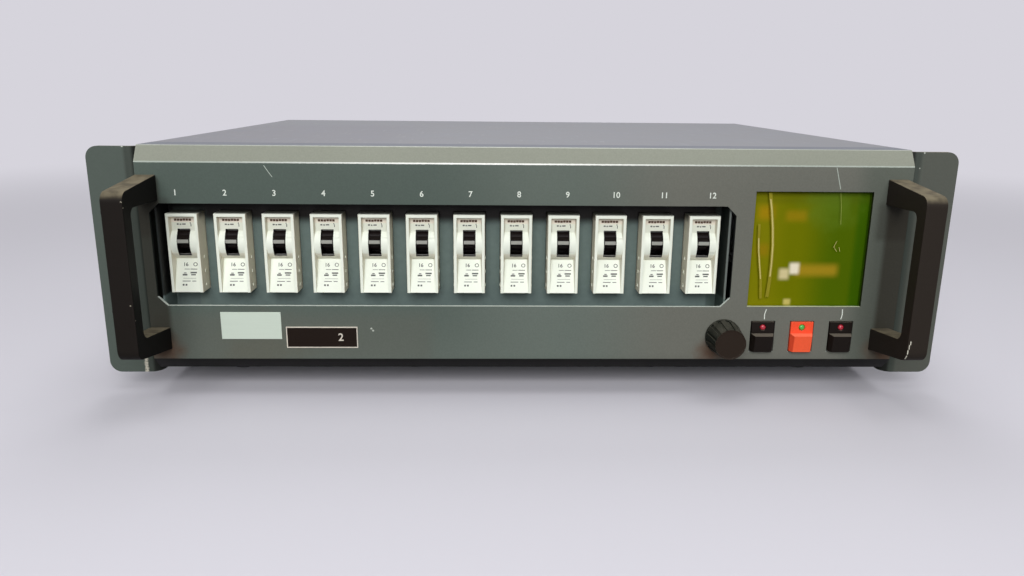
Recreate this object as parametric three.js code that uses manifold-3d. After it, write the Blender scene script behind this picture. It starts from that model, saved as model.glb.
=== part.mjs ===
// A rack-mounted dimmer pack with twelve circuit breakers on its front, in millimetres.
// +X runs to the right across the front, +Y into the case and +Z up. Depths are counted from
// the front face and heights from the lower edge of the rack ears. The finished group is moved
// so that its origin lies under its middle, on the plane that its feet stand on.
import * as THREE from 'three';
import { mergeVertices } from 'three/addons/utils/BufferGeometryUtils.js';
import Module from 'manifold-3d';

const wasm = await Module();
wasm.setup();

// Fits that all the pieces share
const seatGap = 0.3;
const cutOverrun = 5;
const arcSteps = 4;

// Case, rack ears and sheet metal
const rackWidth = 482.6;
const earHeight = 129.9;
const earSetback = 9.2;
const earCornerRadius = 6.5;
const rackSlotInset = 8.75;
const rackSlotSpacingZ = 57.15;
const rackSlotLength = 8.2;
const rackSlotHeight = 6.8;
const earReach = 26.8;
const caseDepth = 334;
const sideThickness = 2.5;
const sideBendRadius = 7;
const sideVentCount = 10;
const sideVentPitch = 8;
const sideVentWidth = 3.5;
const sideVentHeight = 62;
const sideVentSetback = 150;
const coverThickness = 1.25;
const coverTongue = 12;
const baseThickness = 1.2;
const baseSetback = 22;
const caseFlange = 12;
const rearThickness = 2;

// Front panel
const panelThickness = 2;
const panelFlangeDepth = 26;
const topLipHeight = 8.65;
const topLipDepth = 5.4;
const lowerLipHeight = 7.6;
const lowerLipDepth = 7.6;
const lowerLipRise = 3.7;

// Display window and what lies behind it
const displayWidth = 65.5;
const displaySideMargin = 20.8;
const displayTopMargin = 14;
const controlStripHeight = 31.5;
const paneSetback = 4;
const paneThickness = 1.8;
const paneBorder = 3;
const boardSetback = 12.3;
const boardThickness = 1.6;
const boardMargin = 3;

// Breaker recess and tray
const recessSideMargin = 6.7;
const recessToDisplay = 11.2;
const recessTopMargin = 22.4;
const recessBottomMargin = 31.3;
const recessChamfer = 5.2;
const traySetback = 17.5;
const trayThickness = 1.2;
const trayInset = 2;
const trayOverlap = 6.5;

// Circuit breakers and their levers
const breakerCount = 12;
const breakerWidth = 17.7;
const breakerHeight = 90;
const breakerDepth = 68;
const breakerSetback = 7.4;
const breakerLeftMargin = 3.95;
const breakerRightMargin = 5.2;
const breakerLift = 5.8;
const noseHeight = 45;
const noseDepth = 20;
const noseRim = 1.4;
const fieldDepth = 2.2;
const fieldWallWidth = 1.4;
const printDepth = 4;
const printEndDepth = 0.2;
const printTop = -1.7;
const printStep = 0.7;
const slotWidth = 7.1;
const slotHeight = 14.4;
const slotDepth = 15.5;
const slotRise = 7.2;
const cheekHeight = 15;
const leverRadius = 6.3;
const leverReach = 9.7;
const leverTip = 2.6;
const leverSetback = 7.5;
const leverRestAngle = 12;
const leverSides = 16;
const pivotRadius = 1.5;
const pivotReach = 2;
const pivotSides = 8;
const railHeight = 35;
const railDepth = 7.5;
const railThickness = 1;
const railSeatDepth = 6;
const railFoot = 5;

// Handles
const handleWidth = 11;
const rightHandleInset = 2.6;
const handleHeight = 98.4;
const handleRise = 17.2;
const handleReach = 41.7;
const handleGrip = 8.5;
const handleArm = 14.3;
const handleLowerArm = 12.1;
const handleTopFall = 4.6;
const handleBottomRise = 7.3;
const handleInnerLowerRise = 4.6;
const handleInnerUpperRise = 1;
const handleCornerRadius = 5;
const handleInnerRadius = 4;

// Controls under the display
const controlRise = 13.9;
const keyPitch = 22.6;
const keyHoleWidth = 13.6;
const keyHoleHeight = 18;
const keyProud = 0.6;
const keyRidgeProud = 4.2;
const keyToeProud = 2.9;
const keyBack = 5;
const keyTravel = 2;
const keyRidgeRise = 1.8;
const keySideLean = 1.5;
const lampRadius = 1.5;
const lampRise = 5.4;
const lampProud = 1.3;
const stemWidth = 4;
const stemLength = 4;
const knobRadius = 10.3;
const knobFaceRadius = 8.7;
const knobHeight = 16;
const knobSkirt = 2.2;
const knobFluteDepth = 0.7;
const knobFlutes = 14;
const knobToDisplay = 12.6;
const encoderWidth = 12.4;
const encoderDepth = 6.5;
const bushingRadius = 3.5;
const bushingProud = 1.2;
const shaftRadius = 2;
const shaftLength = 11;

// Feet, fan, cooling and power parts inside
const footHeight = 10;
const footRadius = 11;
const footToeRadius = 9;
const footInset = 34;
const fanWidth = 80;
const fanDepth = 25;
const fanBore = 37.5;
const fanHubRadius = 15;
const fanBladeRadius = 35.5;
const fanBladeCount = 7;
const fanBladeThickness = 1.4;
const fanBladeWidth = 18;
const fanBladePitch = 38;
const fanArmWidth = 5;
const fanArmDepth = 4;
const fanShaftRadius = 2.5;
const grilleSlotCount = 9;
const grilleSlotWidth = 3.5;
const grilleSlotPitch = 8;
const grilleSlotEndRadius = 36;
const sinkWidth = 140;
const sinkLength = 140;
const sinkHeight = 44;
const sinkBase = 7;
const sinkFinCount = 12;
const sinkFinThickness = 2.4;
const sinkToFan = 16;
const sinkToWall = 10;
const moduleCount = 6;
const moduleLength = 18;
const moduleHeight = 16;
const moduleWidth = 60;
const moduleStrip = 4;
const chokeRows = 3;
const chokesPerRow = 4;
const chokeRadius = 21;
const chokeBore = 8;
const chokeHeight = 24;
const chokePitch = 45;
const chokePlate = 2;
const chokeSides = 12;
const terminalCount = 5;
const terminalWidth = 14;
const terminalHeight = 30;
const terminalGroove = 2;
const terminalInset = 3;

// Sockets and the cable gland on the rear
const outletFlange = 56;
const outletFlangeThickness = 3;
const outletRadius = 24;
const outletInnerRadius = 21;
const outletLength = 22;
const outletWell = 14;
const outletBodyRadius = 19;
const outletBodyDepth = 20;
const outletSides = 24;
const dataWidth = 26;
const dataHeight = 31;
const dataFlangeThickness = 2;
const dataRadius = 11;
const dataInnerRadius = 9;
const dataCoreRadius = 8.2;
const dataBodyDepth = 20;
const dataWell = 15;
const dataPinLength = 9;
const dataPinRadius = 0.9;
const dataPinCircle = 5;
const dataPinCount = 5;
const dataSpacing = 46;
const dataSides = 20;
const glandRadius = 15;
const glandThroat = 8;
const glandNeck = 12;
const glandLength = 29;
const glandNutDepth = 6;
const glandInnerLength = 12;
const glandCapLength = 16;
const glandSides = 24;

// Places that follow from the sizes above
const caseWidth = rackWidth - 2 * earReach;
const caseInner = caseWidth / 2 - sideThickness;
const panelHalf = caseInner - seatGap;
const caseTop = earHeight + coverThickness;
const faceTop = caseTop - topLipHeight;
const faceBottom = lowerLipRise + lowerLipHeight;
const faceMiddle = (faceTop + faceBottom) / 2;
const displayRight = panelHalf - displaySideMargin;
const displayLeft = displayRight - displayWidth;
const displayTop = faceTop - displayTopMargin;
const displayBottom = faceBottom + controlStripHeight;
const displayCentre = (displayLeft + displayRight) / 2;
const recessLeft = -panelHalf + recessSideMargin;
const recessRight = displayLeft - recessToDisplay;
const recessTop = faceTop - recessTopMargin;
const recessBottom = faceBottom + recessBottomMargin;
const trayTop = recessTop + trayOverlap;
const trayBottom = recessBottom - trayOverlap;
const trayRight = recessRight - trayInset;
const firstBreakerX = recessLeft + breakerLeftMargin + breakerWidth / 2;
const lastBreakerX = recessRight - breakerRightMargin - breakerWidth / 2;
const breakerPitch = (lastBreakerX - firstBreakerX) / (breakerCount - 1);
const breakerZ = recessBottom + breakerLift + noseHeight / 2;
const breakerXs = Array.from({ length: breakerCount }, (_, n) => firstBreakerX + n * breakerPitch);
const railFaceY = breakerSetback + breakerDepth - railSeatDepth + seatGap;
const controlZ = faceBottom + controlRise;
const keyXs = [-keyPitch, 0, keyPitch].map((step) => displayCentre + step);
const keySides = ['left', 'middle', 'right'];
const knobX = displayLeft - knobToDisplay;
const knobBaseY = -seatGap;
const boardPartsBack = boardSetback - seatGap;
const rearInnerY = caseDepth - rearThickness;
const fanFrontY = rearInnerY - seatGap - fanDepth;

// Points and outlines
const radians = (degrees) => (degrees * Math.PI) / 180;
const polar = (radius, angle, centre = [0, 0]) => [
  centre[0] + radius * Math.cos(angle),
  centre[1] + radius * Math.sin(angle),
];

function outline(points) {
  return new THREE.Shape(points.map(([a, b]) => new THREE.Vector2(a, b)));
}

function rectangle([lowA, lowB], [highA, highB]) {
  return outline([[lowA, lowB], [highA, lowB], [highA, highB], [lowA, highB]]);
}

function ring(radius, sides, centre = [0, 0]) {
  return Array.from({ length: sides }, (_, n) => polar(radius, (n / sides) * 2 * Math.PI, centre));
}

// A closed slot with round ends, longer along its first axis.
function slot([a, b], length, height) {
  const reach = (length - height) / 2;
  const points = [];
  for (let n = 0; n <= arcSteps * 2; n += 1) {
    points.push(polar(height / 2, Math.PI * (n / (arcSteps * 2) - 1 / 2), [a + reach, b]));
  }
  for (let n = 0; n <= arcSteps * 2; n += 1) {
    points.push(polar(height / 2, Math.PI * (n / (arcSteps * 2) + 1 / 2), [a - reach, b]));
  }
  return outline(points);
}

// Rounds the corners of a path. A radius of zero keeps its corner sharp.
function rounded(points, radii, closed = true) {
  const path = [];
  points.forEach((corner, n) => {
    const end = !closed && (n === 0 || n === points.length - 1);
    if (end || !radii[n]) {
      path.push(corner);
      return;
    }
    const at = new THREE.Vector2(...corner);
    const before = new THREE.Vector2(...points[(n + points.length - 1) % points.length]).sub(at).normalize();
    const after = new THREE.Vector2(...points[(n + 1) % points.length]).sub(at).normalize();
    const halfAngle = Math.acos(before.dot(after)) / 2;
    const centre = before.clone().add(after).normalize().multiplyScalar(radii[n] / Math.sin(halfAngle)).add(at);
    const reach = radii[n] / Math.tan(halfAngle);
    const from = before.multiplyScalar(reach).add(at).sub(centre);
    const to = after.multiplyScalar(reach).add(at).sub(centre);
    const sweep = Math.atan2(from.cross(to), from.dot(to));
    for (let step = 0; step <= arcSteps; step += 1) {
      path.push(polar(radii[n], from.angle() + (sweep * step) / arcSteps, [centre.x, centre.y]));
    }
  });
  return path;
}

// The section of a folded sheet: a path along its outer faces, thickened towards the path's left.
function foldedSheet(path, thickness) {
  const normals = path.slice(1).map(([a, b], n) => {
    const along = new THREE.Vector2(a - path[n][0], b - path[n][1]).normalize();
    return new THREE.Vector2(-along.y, along.x);
  });
  const inner = path.map(([a, b], n) => {
    const before = normals[Math.max(n - 1, 0)];
    const after = normals[Math.min(n, normals.length - 1)];
    const mitre = before.clone().add(after).multiplyScalar(thickness / (1 + before.dot(after)));
    return [a + mitre.x, b + mitre.y];
  });
  return outline([...path, ...inner.reverse()]);
}

// Solids. Outlines are drawn in the two axes that they aren't extruded along, in the order
// y z for x, x z for y and x y for z.
function solid(geometry) {
  const bare = geometry.clone();
  bare.deleteAttribute('normal');
  bare.deleteAttribute('uv');
  const merged = mergeVertices(bare);
  const vertProperties = new Float32Array(merged.attributes.position.array);
  const triVerts = new Uint32Array(merged.index.array);
  return new wasm.Manifold(new wasm.Mesh({ numProp: 3, vertProperties, triVerts }));
}

const unitX = new THREE.Vector3(1, 0, 0);
const unitY = new THREE.Vector3(0, 1, 0);
const unitZ = new THREE.Vector3(0, 0, 1);

function extrude(axis, shape, start, end) {
  const geometry = new THREE.ExtrudeGeometry(shape, { depth: end - start, bevelEnabled: false });
  const turn = new THREE.Matrix4();
  if (axis === 'x') {
    turn.makeBasis(unitY, unitZ, unitX).setPosition(start, 0, 0);
  } else if (axis === 'y') {
    turn.makeBasis(unitX, unitZ, unitY.clone().negate()).setPosition(0, end, 0);
  } else {
    turn.makeTranslation(0, 0, start);
  }
  return solid(geometry.applyMatrix4(turn));
}

// Extrudes an outline of y and z to both sides of the middle, narrower as y grows.
function tapered(shape, half, lean) {
  const geometry = new THREE.ExtrudeGeometry(shape, { depth: 2 * half, bevelEnabled: false });
  const position = geometry.attributes.position;
  for (let n = 0; n < position.count; n += 1) {
    const reach = half - lean * position.getX(n);
    const x = position.getZ(n) > half ? reach : -reach;
    position.setXYZ(n, x, position.getX(n), position.getY(n));
  }
  return solid(geometry);
}

function block(low, high) {
  const size = high.map((value, n) => value - low[n]);
  const geometry = new THREE.BoxGeometry(...size);
  geometry.translate(...high.map((value, n) => (value + low[n]) / 2));
  return solid(geometry);
}

function cylinder(axis, radius, sides, start, end, centre = [0, 0]) {
  return extrude(axis, outline(ring(radius, sides, centre)), start, end);
}

// Turns a profile of radius and depth points about a line along +Y.
function turned(profile, sides, [x, z] = [0, 0]) {
  const points = profile.map(([radius, y]) => new THREE.Vector2(radius, y));
  const geometry = new THREE.LatheGeometry(points, sides);
  geometry.translate(x, 0, z);
  const shape = solid(geometry);
  return shape.volume() < 0 ? solid(flipped(geometry)) : shape;
}

function flipped(geometry) {
  const turnedOver = geometry.clone();
  const index = turnedOver.index.array;
  for (let n = 0; n < index.length; n += 3) {
    [index[n], index[n + 1]] = [index[n + 1], index[n]];
  }
  return turnedOver;
}

function joined(shapes) {
  return shapes.reduce((whole, shape) => whole.add(shape));
}

function cut(shape, cutters) {
  return cutters.reduce((rest, cutter) => rest.subtract(cutter), shape);
}

// Finishes
function finish(colour, roughness, metalness = 0) {
  return new THREE.MeshStandardMaterial({ color: colour, roughness, metalness });
}

const finishes = {
  panelPaint: finish(0x4f5a59, 0.55, 0.2),
  casePaint: finish(0x59625f, 0.5, 0.2),
  handlePaint: finish(0x26211f, 0.6),
  bareSteel: finish(0x9da1a3, 0.4, 0.9),
  trayPaint: finish(0x3d4b52, 0.55, 0.2),
  breakerPlastic: finish(0xe1e3d4, 0.45),
  leverPlastic: finish(0x1b1a1b, 0.4),
  displayGlass: finish(0x6f7a12, 0.15),
  boardGreen: finish(0x1f5a34, 0.6),
  blackPlastic: finish(0x1c1b1c, 0.5),
  knobPlastic: finish(0x24211f, 0.6),
  redPlastic: finish(0xe2472c, 0.45),
  rubber: finish(0x17171a, 0.9),
  aluminium: finish(0xb4b7ba, 0.4, 0.9),
  copper: finish(0xa3673a, 0.45, 0.6),
  terminalGrey: finish(0x8c9190, 0.6),
};

const unit = new THREE.Group();

function add(name, shape, material, place = [0, 0, 0]) {
  const { vertProperties, triVerts } = shape.getMesh();
  const geometry = new THREE.BufferGeometry();
  geometry.setAttribute('position', new THREE.BufferAttribute(vertProperties, 3));
  geometry.setIndex(new THREE.BufferAttribute(triVerts, 1));
  geometry.computeVertexNormals();
  const piece = new THREE.Mesh(geometry, material);
  piece.name = name;
  piece.position.set(...place);
  unit.add(piece);
}

// Front panel: one folded sheet with leaning lips, open at both ends
function frontPanel() {
  const path = [
    [panelFlangeDepth, caseTop],
    [topLipDepth, caseTop],
    [0, faceTop],
    [0, faceBottom],
    [lowerLipDepth, lowerLipRise],
    [panelFlangeDepth, lowerLipRise],
  ];
  const sheet = extrude('x', foldedSheet(path, panelThickness), -panelHalf, panelHalf);
  const through = [-cutOverrun, panelThickness + cutOverrun];
  const recess = outline([
    [recessLeft + recessChamfer, recessBottom],
    [recessRight - recessChamfer, recessBottom],
    [recessRight, recessBottom + recessChamfer],
    [recessRight, recessTop - recessChamfer],
    [recessRight - recessChamfer, recessTop],
    [recessLeft + recessChamfer, recessTop],
    [recessLeft, recessTop - recessChamfer],
    [recessLeft, recessBottom + recessChamfer],
  ]);
  const cutters = [
    extrude('y', recess, ...through),
    extrude('y', rectangle([displayLeft, displayBottom], [displayRight, displayTop]), ...through),
    cylinder('y', bushingRadius + seatGap, leverSides, ...through, [knobX, controlZ]),
  ];
  for (const x of keyXs) {
    const low = [x - keyHoleWidth / 2, controlZ - keyHoleHeight / 2];
    const high = [x + keyHoleWidth / 2, controlZ + keyHoleHeight / 2];
    cutters.push(extrude('y', rectangle(low, high), ...through));
  }
  return cut(sheet, cutters);
}

// Side plate with its rack ear bent out of the same sheet. Side is -1 on the left, 1 on the right.
function sidePlate(side) {
  const mirrored = (points) => points.map(([a, b]) => [side * a, b]);
  const path = rounded(
    [[caseInner, caseDepth], [caseInner, earSetback], [rackWidth / 2, earSetback]],
    [0, sideBendRadius, 0],
    false,
  );
  const section = foldedSheet(path, sideThickness);
  const sheet = extrude('z', outline(mirrored(section.getPoints().map(({ x, y }) => [x, y]))), 0, earHeight);
  const corners = [[0, 0], [rackWidth / 2, 0], [rackWidth / 2, earHeight], [0, earHeight]];
  const face = rounded(corners, [0, earCornerRadius, earCornerRadius, 0]);
  const trimmed = sheet.intersect(
    extrude('y', outline(mirrored(face)), earSetback - cutOverrun, caseDepth + cutOverrun),
  );
  const cutters = [-1, 1].map((end) => extrude(
    'y',
    slot(
      [side * (rackWidth / 2 - rackSlotInset), (earHeight + end * rackSlotSpacingZ) / 2],
      rackSlotLength,
      rackSlotHeight,
    ),
    earSetback - cutOverrun,
    earSetback + sideThickness + cutOverrun,
  ));
  const wall = [side * (caseInner - cutOverrun), side * (caseWidth / 2 + cutOverrun)].sort((a, b) => a - b);
  for (let n = 0; n < sideVentCount; n += 1) {
    const y = sideVentSetback + n * sideVentPitch;
    const low = [y, (earHeight - sideVentHeight) / 2];
    const high = [y + sideVentWidth, (earHeight + sideVentHeight) / 2];
    cutters.push(extrude('x', rectangle(low, high), ...wall));
  }
  return cut(trimmed, cutters);
}

// A flat plate with its two long edges folded, for the cover and the base.
function flangedPlate(outerZ, thickness, direction, front) {
  const half = caseInner - seatGap;
  const flangeEnd = outerZ - direction * (caseFlange + thickness);
  const path = [[half, flangeEnd], [half, outerZ], [-half, outerZ], [-half, flangeEnd]];
  const section = foldedSheet(path, direction * thickness);
  const flanges = extrude('y', section, panelFlangeDepth + seatGap, rearInnerY - seatGap);
  const [lowZ, highZ] = [outerZ - direction * thickness, outerZ].sort((a, b) => a - b);
  return flanges.add(block([-half, front, lowZ], [half, caseDepth, highZ]));
}

// Cover that lies level with the front panel's top, with a tongue that steps down under it
function topCover() {
  const half = caseInner - seatGap;
  const front = panelFlangeDepth + seatGap;
  const under = caseTop - panelThickness - seatGap;
  const path = [
    [panelFlangeDepth - coverTongue, under],
    [front, under],
    [front, caseTop],
    [front + caseFlange, caseTop],
  ];
  const tongue = extrude('x', foldedSheet(path, -coverThickness), -half, half);
  return flangedPlate(caseTop, coverThickness, 1, front).add(tongue);
}

function baseTray() {
  const half = caseInner - seatGap;
  const upstand = block(
    [-half, baseSetback, -baseThickness],
    [half, baseSetback + baseThickness, lowerLipRise - seatGap],
  );
  return flangedPlate(-baseThickness, baseThickness, -1, baseSetback).add(upstand);
}

// Tray that closes the recess behind the breakers' noses
function breakerTray() {
  const front = panelThickness + seatGap;
  const back = traySetback + trayThickness;
  const left = recessLeft + trayInset;
  const path = [[left, front], [left, back], [trayRight, back], [trayRight, front]];
  const tray = extrude('z', foldedSheet(path, trayThickness), trayBottom, trayTop);
  const reach = breakerWidth / 2 + seatGap;
  const rise = noseHeight / 2 + seatGap;
  return cut(tray, breakerXs.map((x) => extrude(
    'y',
    rectangle([x - reach, breakerZ - rise], [x + reach, breakerZ + rise]),
    traySetback - seatGap,
    back + cutOverrun,
  )));
}

// Breaker housing, drawn about the middle of its nose's front: a stepped side profile and a sunk
// field with leaning walls inside the rim, which has a round cheek on each side of the lever slot
// and below them a print area that starts deepest and rises to the lower edge
function breakerHousing() {
  const half = breakerWidth / 2;
  const nose = noseHeight / 2;
  const bodyHalf = breakerHeight / 2;
  const railHalf = railHeight / 2 + seatGap;
  const railSeat = breakerDepth - railSeatDepth;
  const side = outline([
    [0, nose], [0, -nose], [noseDepth, -nose], [noseDepth, -bodyHalf],
    [breakerDepth, -bodyHalf], [breakerDepth, -railHalf], [railSeat, -railHalf], [railSeat, railHalf],
    [breakerDepth, railHalf], [breakerDepth, bodyHalf], [noseDepth, bodyHalf], [noseDepth, nose],
  ]);
  const housing = extrude('x', side, -half, half);
  const chord = cheekHeight / 2;
  const cheekRadius = (chord * chord + fieldDepth * fieldDepth) / (2 * fieldDepth);
  const cheekAngle = Math.asin(chord / cheekRadius);
  const cheek = Array.from({ length: arcSteps * 2 + 1 }, (_, n) => {
    const [y, z] = polar(cheekRadius, Math.PI - cheekAngle + (cheekAngle * n) / arcSteps);
    return [y + cheekRadius, z + slotRise];
  });
  const field = outline([
    [-cutOverrun, nose - noseRim],
    [0, nose - noseRim],
    [fieldDepth, nose - noseRim - fieldWallWidth],
    ...cheek,
    [fieldDepth, printTop + printStep],
    [printDepth, printTop],
    [printEndDepth, -nose],
    [printEndDepth, -nose - cutOverrun],
    [-cutOverrun, -nose - cutOverrun],
  ]);
  const slotHalf = slotWidth / 2;
  const pivotHalf = slotHalf + pivotReach + seatGap;
  return cut(housing, [
    tapered(field, half - noseRim, fieldWallWidth / printDepth),
    block(
      [-slotHalf, -cutOverrun, slotRise - slotHeight / 2],
      [slotHalf, slotDepth, slotRise + slotHeight / 2],
    ),
    cylinder('x', pivotRadius + seatGap, pivotSides, -pivotHalf, pivotHalf, [leverSetback, slotRise]),
  ]);
}

// Toggle lever about its pivot: a drum with a blunt thumb piece and a pivot pin
function breakerLever() {
  const half = slotWidth / 2 - seatGap;
  const thumb = outline([
    [0, -leverRadius * Math.cos(radians(leverSides))],
    [-leverReach + leverTip / 2, -leverTip / 2],
    [-leverReach, -leverTip / 4],
    [-leverReach, leverTip / 4],
    [-leverReach + leverTip / 2, leverTip / 2],
    [0, leverRadius * Math.cos(radians(leverSides))],
  ]);
  const lever = joined([
    cylinder('x', leverRadius, leverSides, -half, half),
    extrude('x', thumb, -half, half),
    cylinder('x', pivotRadius, pivotSides, -half - pivotReach, half + pivotReach),
  ]);
  return lever.rotate([-leverRestAngle, 0, 0]);
}

// Hat rail from wall to wall, about the middle height of the breakers
function breakerRail() {
  const half = railHeight / 2;
  const back = railFaceY + railDepth;
  const path = [
    [railFaceY, half],
    [railFaceY, half - railFoot],
    [back, half - railFoot],
    [back, -half + railFoot],
    [railFaceY, -half + railFoot],
    [railFaceY, -half],
  ];
  return extrude('x', foldedSheet(path, railThickness), -panelHalf, panelHalf);
}

// Bow handle on its side: two leaning arms that narrow towards an upright grip
function handle(side, inset) {
  const foot = handleRise;
  const head = handleRise + handleHeight;
  const grip = -handleReach;
  const inner = -handleReach + handleGrip;
  const points = [
    [0, foot],
    [grip, foot + handleBottomRise],
    [grip, head - handleTopFall],
    [0, head],
    [0, head - handleArm],
    [inner, head - handleArm + handleInnerUpperRise],
    [inner, foot + handleLowerArm + handleInnerLowerRise],
    [0, foot + handleLowerArm],
  ];
  const radii = [0, handleCornerRadius, handleCornerRadius, 0, 0, handleInnerRadius, handleInnerRadius, 0];
  const outer = side * (panelHalf - inset);
  const [low, high] = [outer, outer - side * handleWidth].sort((a, b) => a - b);
  return extrude('x', outline(rounded(points, radii)), low, high);
}

// Display pane with a raised border that bears on the back of the panel
function displayPane() {
  const front = panelThickness + seatGap;
  const back = paneSetback + paneThickness;
  const low = [displayLeft, displayBottom];
  const high = [displayRight, displayTop];
  const whole = extrude(
    'y',
    rectangle(low.map((v) => v - paneBorder), high.map((v) => v + paneBorder)),
    front,
    back,
  );
  return cut(whole, [extrude('y', rectangle(low, high), front - cutOverrun, paneSetback)]);
}

function displayModule() {
  const reach = paneBorder;
  return block(
    [displayLeft - reach, paneSetback + paneThickness + seatGap, displayBottom - reach],
    [displayRight + reach, boardPartsBack, displayTop + reach],
  );
}

function controlBoard() {
  const left = knobX - encoderWidth / 2 - boardMargin;
  const right = displayRight + paneBorder + boardMargin;
  const step = displayLeft - paneBorder - boardMargin / 2;
  const bottom = controlZ - keyHoleHeight / 2 - boardMargin / 2;
  const shelf = controlZ + encoderWidth / 2 + boardMargin / 6;
  const top = displayTop + paneBorder + boardMargin;
  const shape = outline([[left, bottom], [right, bottom], [right, top], [step, top], [step, shelf], [left, shelf]]);
  return extrude('y', shape, boardSetback, boardSetback + boardThickness);
}

function encoderBody() {
  const half = encoderWidth / 2;
  const front = boardPartsBack - encoderDepth;
  const box = block([-half, front, -half], [half, boardPartsBack, half]);
  const bushing = cylinder('y', bushingRadius, leverSides, -bushingProud, front + seatGap);
  const bore = cylinder(
    'y', shaftRadius + seatGap, leverSides, -bushingProud - cutOverrun, shaftLength - knobBaseY,
  );
  return box.add(bushing).subtract(bore);
}

// Ribbed knob: a plain skirt, then flutes that narrow towards the flat face, and its shaft
function encoderKnob() {
  const waist = knobRadius - knobFluteDepth;
  const points = [];
  for (let n = 0; n < knobFlutes; n += 1) {
    const turn = (2 * Math.PI) / knobFlutes;
    points.push(polar(knobRadius, turn * (n - 1 / 8)));
    points.push(polar(knobRadius, turn * (n + 1 / 4)));
    points.push(polar(waist, turn * (n + 3 / 8)));
    points.push(polar(waist, turn * (n + 3 / 4)));
  }
  const fluteLength = knobHeight - knobSkirt;
  const geometry = new THREE.ExtrudeGeometry(outline(points), { depth: fluteLength, bevelEnabled: false });
  const position = geometry.attributes.position;
  for (let n = 0; n < position.count; n += 1) {
    const share = position.getZ(n) / fluteLength;
    const scale = 1 + (knobFaceRadius / knobRadius - 1) * share;
    position.setXY(n, position.getX(n) * scale, position.getY(n) * scale);
  }
  geometry.rotateX(Math.PI / 2);
  geometry.translate(0, knobBaseY - knobSkirt, 0);
  const skirt = cylinder('y', knobRadius, 2 * knobFlutes, knobBaseY - knobSkirt, knobBaseY);
  const relief = cylinder(
    'y', bushingRadius + seatGap, leverSides, -bushingProud - seatGap, knobBaseY + cutOverrun,
  );
  const shaft = cylinder('y', shaftRadius, leverSides, -bushingProud - cutOverrun, shaftLength - seatGap);
  return solid(geometry).add(skirt).subtract(relief).add(shaft);
}

// Key cap about the middle of its hole: a flat upper field round the lamp, a raised sloping pad
// below it with leaning flanks, and a square stem that slides in the switch
function keyCap() {
  const half = keyHoleWidth / 2 - seatGap;
  const top = keyHoleHeight / 2 - seatGap;
  const ridge = keyRidgeRise;
  const side = outline([
    [-keyProud, top],
    [-keyProud, ridge],
    [-keyRidgeProud, ridge - keyProud],
    [-keyToeProud, -top],
    [keyBack, -top],
    [keyBack, top],
  ]);
  const cap = extrude('x', side, -half, half);
  const plan = outline([
    [-half, keyBack],
    [-half, -keyProud],
    [-half + keySideLean, -keyRidgeProud - seatGap],
    [half - keySideLean, -keyRidgeProud - seatGap],
    [half, -keyProud],
    [half, keyBack],
  ]);
  const flanks = extrude('z', plan, -top - cutOverrun, top + cutOverrun);
  const stem = block(
    [-stemWidth / 2, keyBack - seatGap, -stemWidth / 2],
    [stemWidth / 2, keyBack + stemLength, stemWidth / 2],
  );
  const lampHole = cylinder(
    'y', lampRadius + seatGap, pivotSides * 2, -keyRidgeProud, keyBack + cutOverrun, [0, lampRise],
  );
  return cap.intersect(flanks).add(stem).subtract(lampHole);
}

// Switch behind a key, with the guide for its stem and the lamp that shows through the cap
function keySwitch() {
  const half = keyHoleWidth / 2 - 2 * seatGap;
  const top = keyHoleHeight / 2 - 2 * seatGap;
  const front = keyBack + keyTravel + seatGap;
  const guide = stemWidth / 2 + seatGap;
  const lamp = turned([
    [0, -lampProud],
    [lampRadius / 2, -lampProud * 0.85],
    [lampRadius, -keyProud],
    [lampRadius, front + seatGap],
    [0, front + seatGap],
  ], pivotSides * 2, [0, lampRise]);
  const stemEnd = Math.min(keyBack + stemLength + keyTravel + seatGap, boardPartsBack - seatGap);
  return block([-half, front, -top], [half, boardPartsBack, top])
    .subtract(block([-guide, front - cutOverrun, -guide], [guide, stemEnd, guide]))
    .add(lamp);
}

function foot() {
  const geometry = new THREE.CylinderGeometry(footRadius, footToeRadius, footHeight, leverSides);
  geometry.rotateX(Math.PI / 2);
  geometry.translate(0, 0, -footHeight / 2);
  return solid(geometry);
}

// Rear panel: a plate with a forward fold along its top and bottom, cut for what it carries
function rearPanel(places) {
  const half = caseInner - seatGap;
  const [low, high] = [seatGap, earHeight - seatGap];
  const foldY = caseDepth - caseFlange;
  const path = [[foldY, low], [caseDepth, low], [caseDepth, high], [foldY, high]];
  const inset = coverThickness + seatGap;
  const plate = extrude('x', foldedSheet(path, rearThickness), -half + inset, half - inset)
    .add(block([-half, rearInnerY, low], [half, caseDepth, high]));
  const through = [rearInnerY - cutOverrun, caseDepth + cutOverrun];
  const cutters = [
    ...places.outlets.map((at) => cylinder('y', outletBodyRadius + seatGap, outletSides, ...through, at)),
    ...places.data.map((at) => cylinder('y', dataRadius + seatGap, dataSides, ...through, at)),
    cylinder('y', glandNeck + seatGap, glandSides, ...through, places.gland),
  ];
  for (let n = 0; n < grilleSlotCount; n += 1) {
    const offset = (n - (grilleSlotCount - 1) / 2) * grilleSlotPitch;
    const reach = Math.sqrt(grilleSlotEndRadius ** 2 - offset ** 2);
    const [x, z] = [places.fan[0], places.fan[1] + offset];
    const corner = [reach, grilleSlotWidth / 2];
    const slit = rectangle([x - corner[0], z - corner[1]], [x + corner[0], z + corner[1]]);
    cutters.push(extrude('y', slit, ...through));
  }
  return cut(plate, cutters);
}

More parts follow.
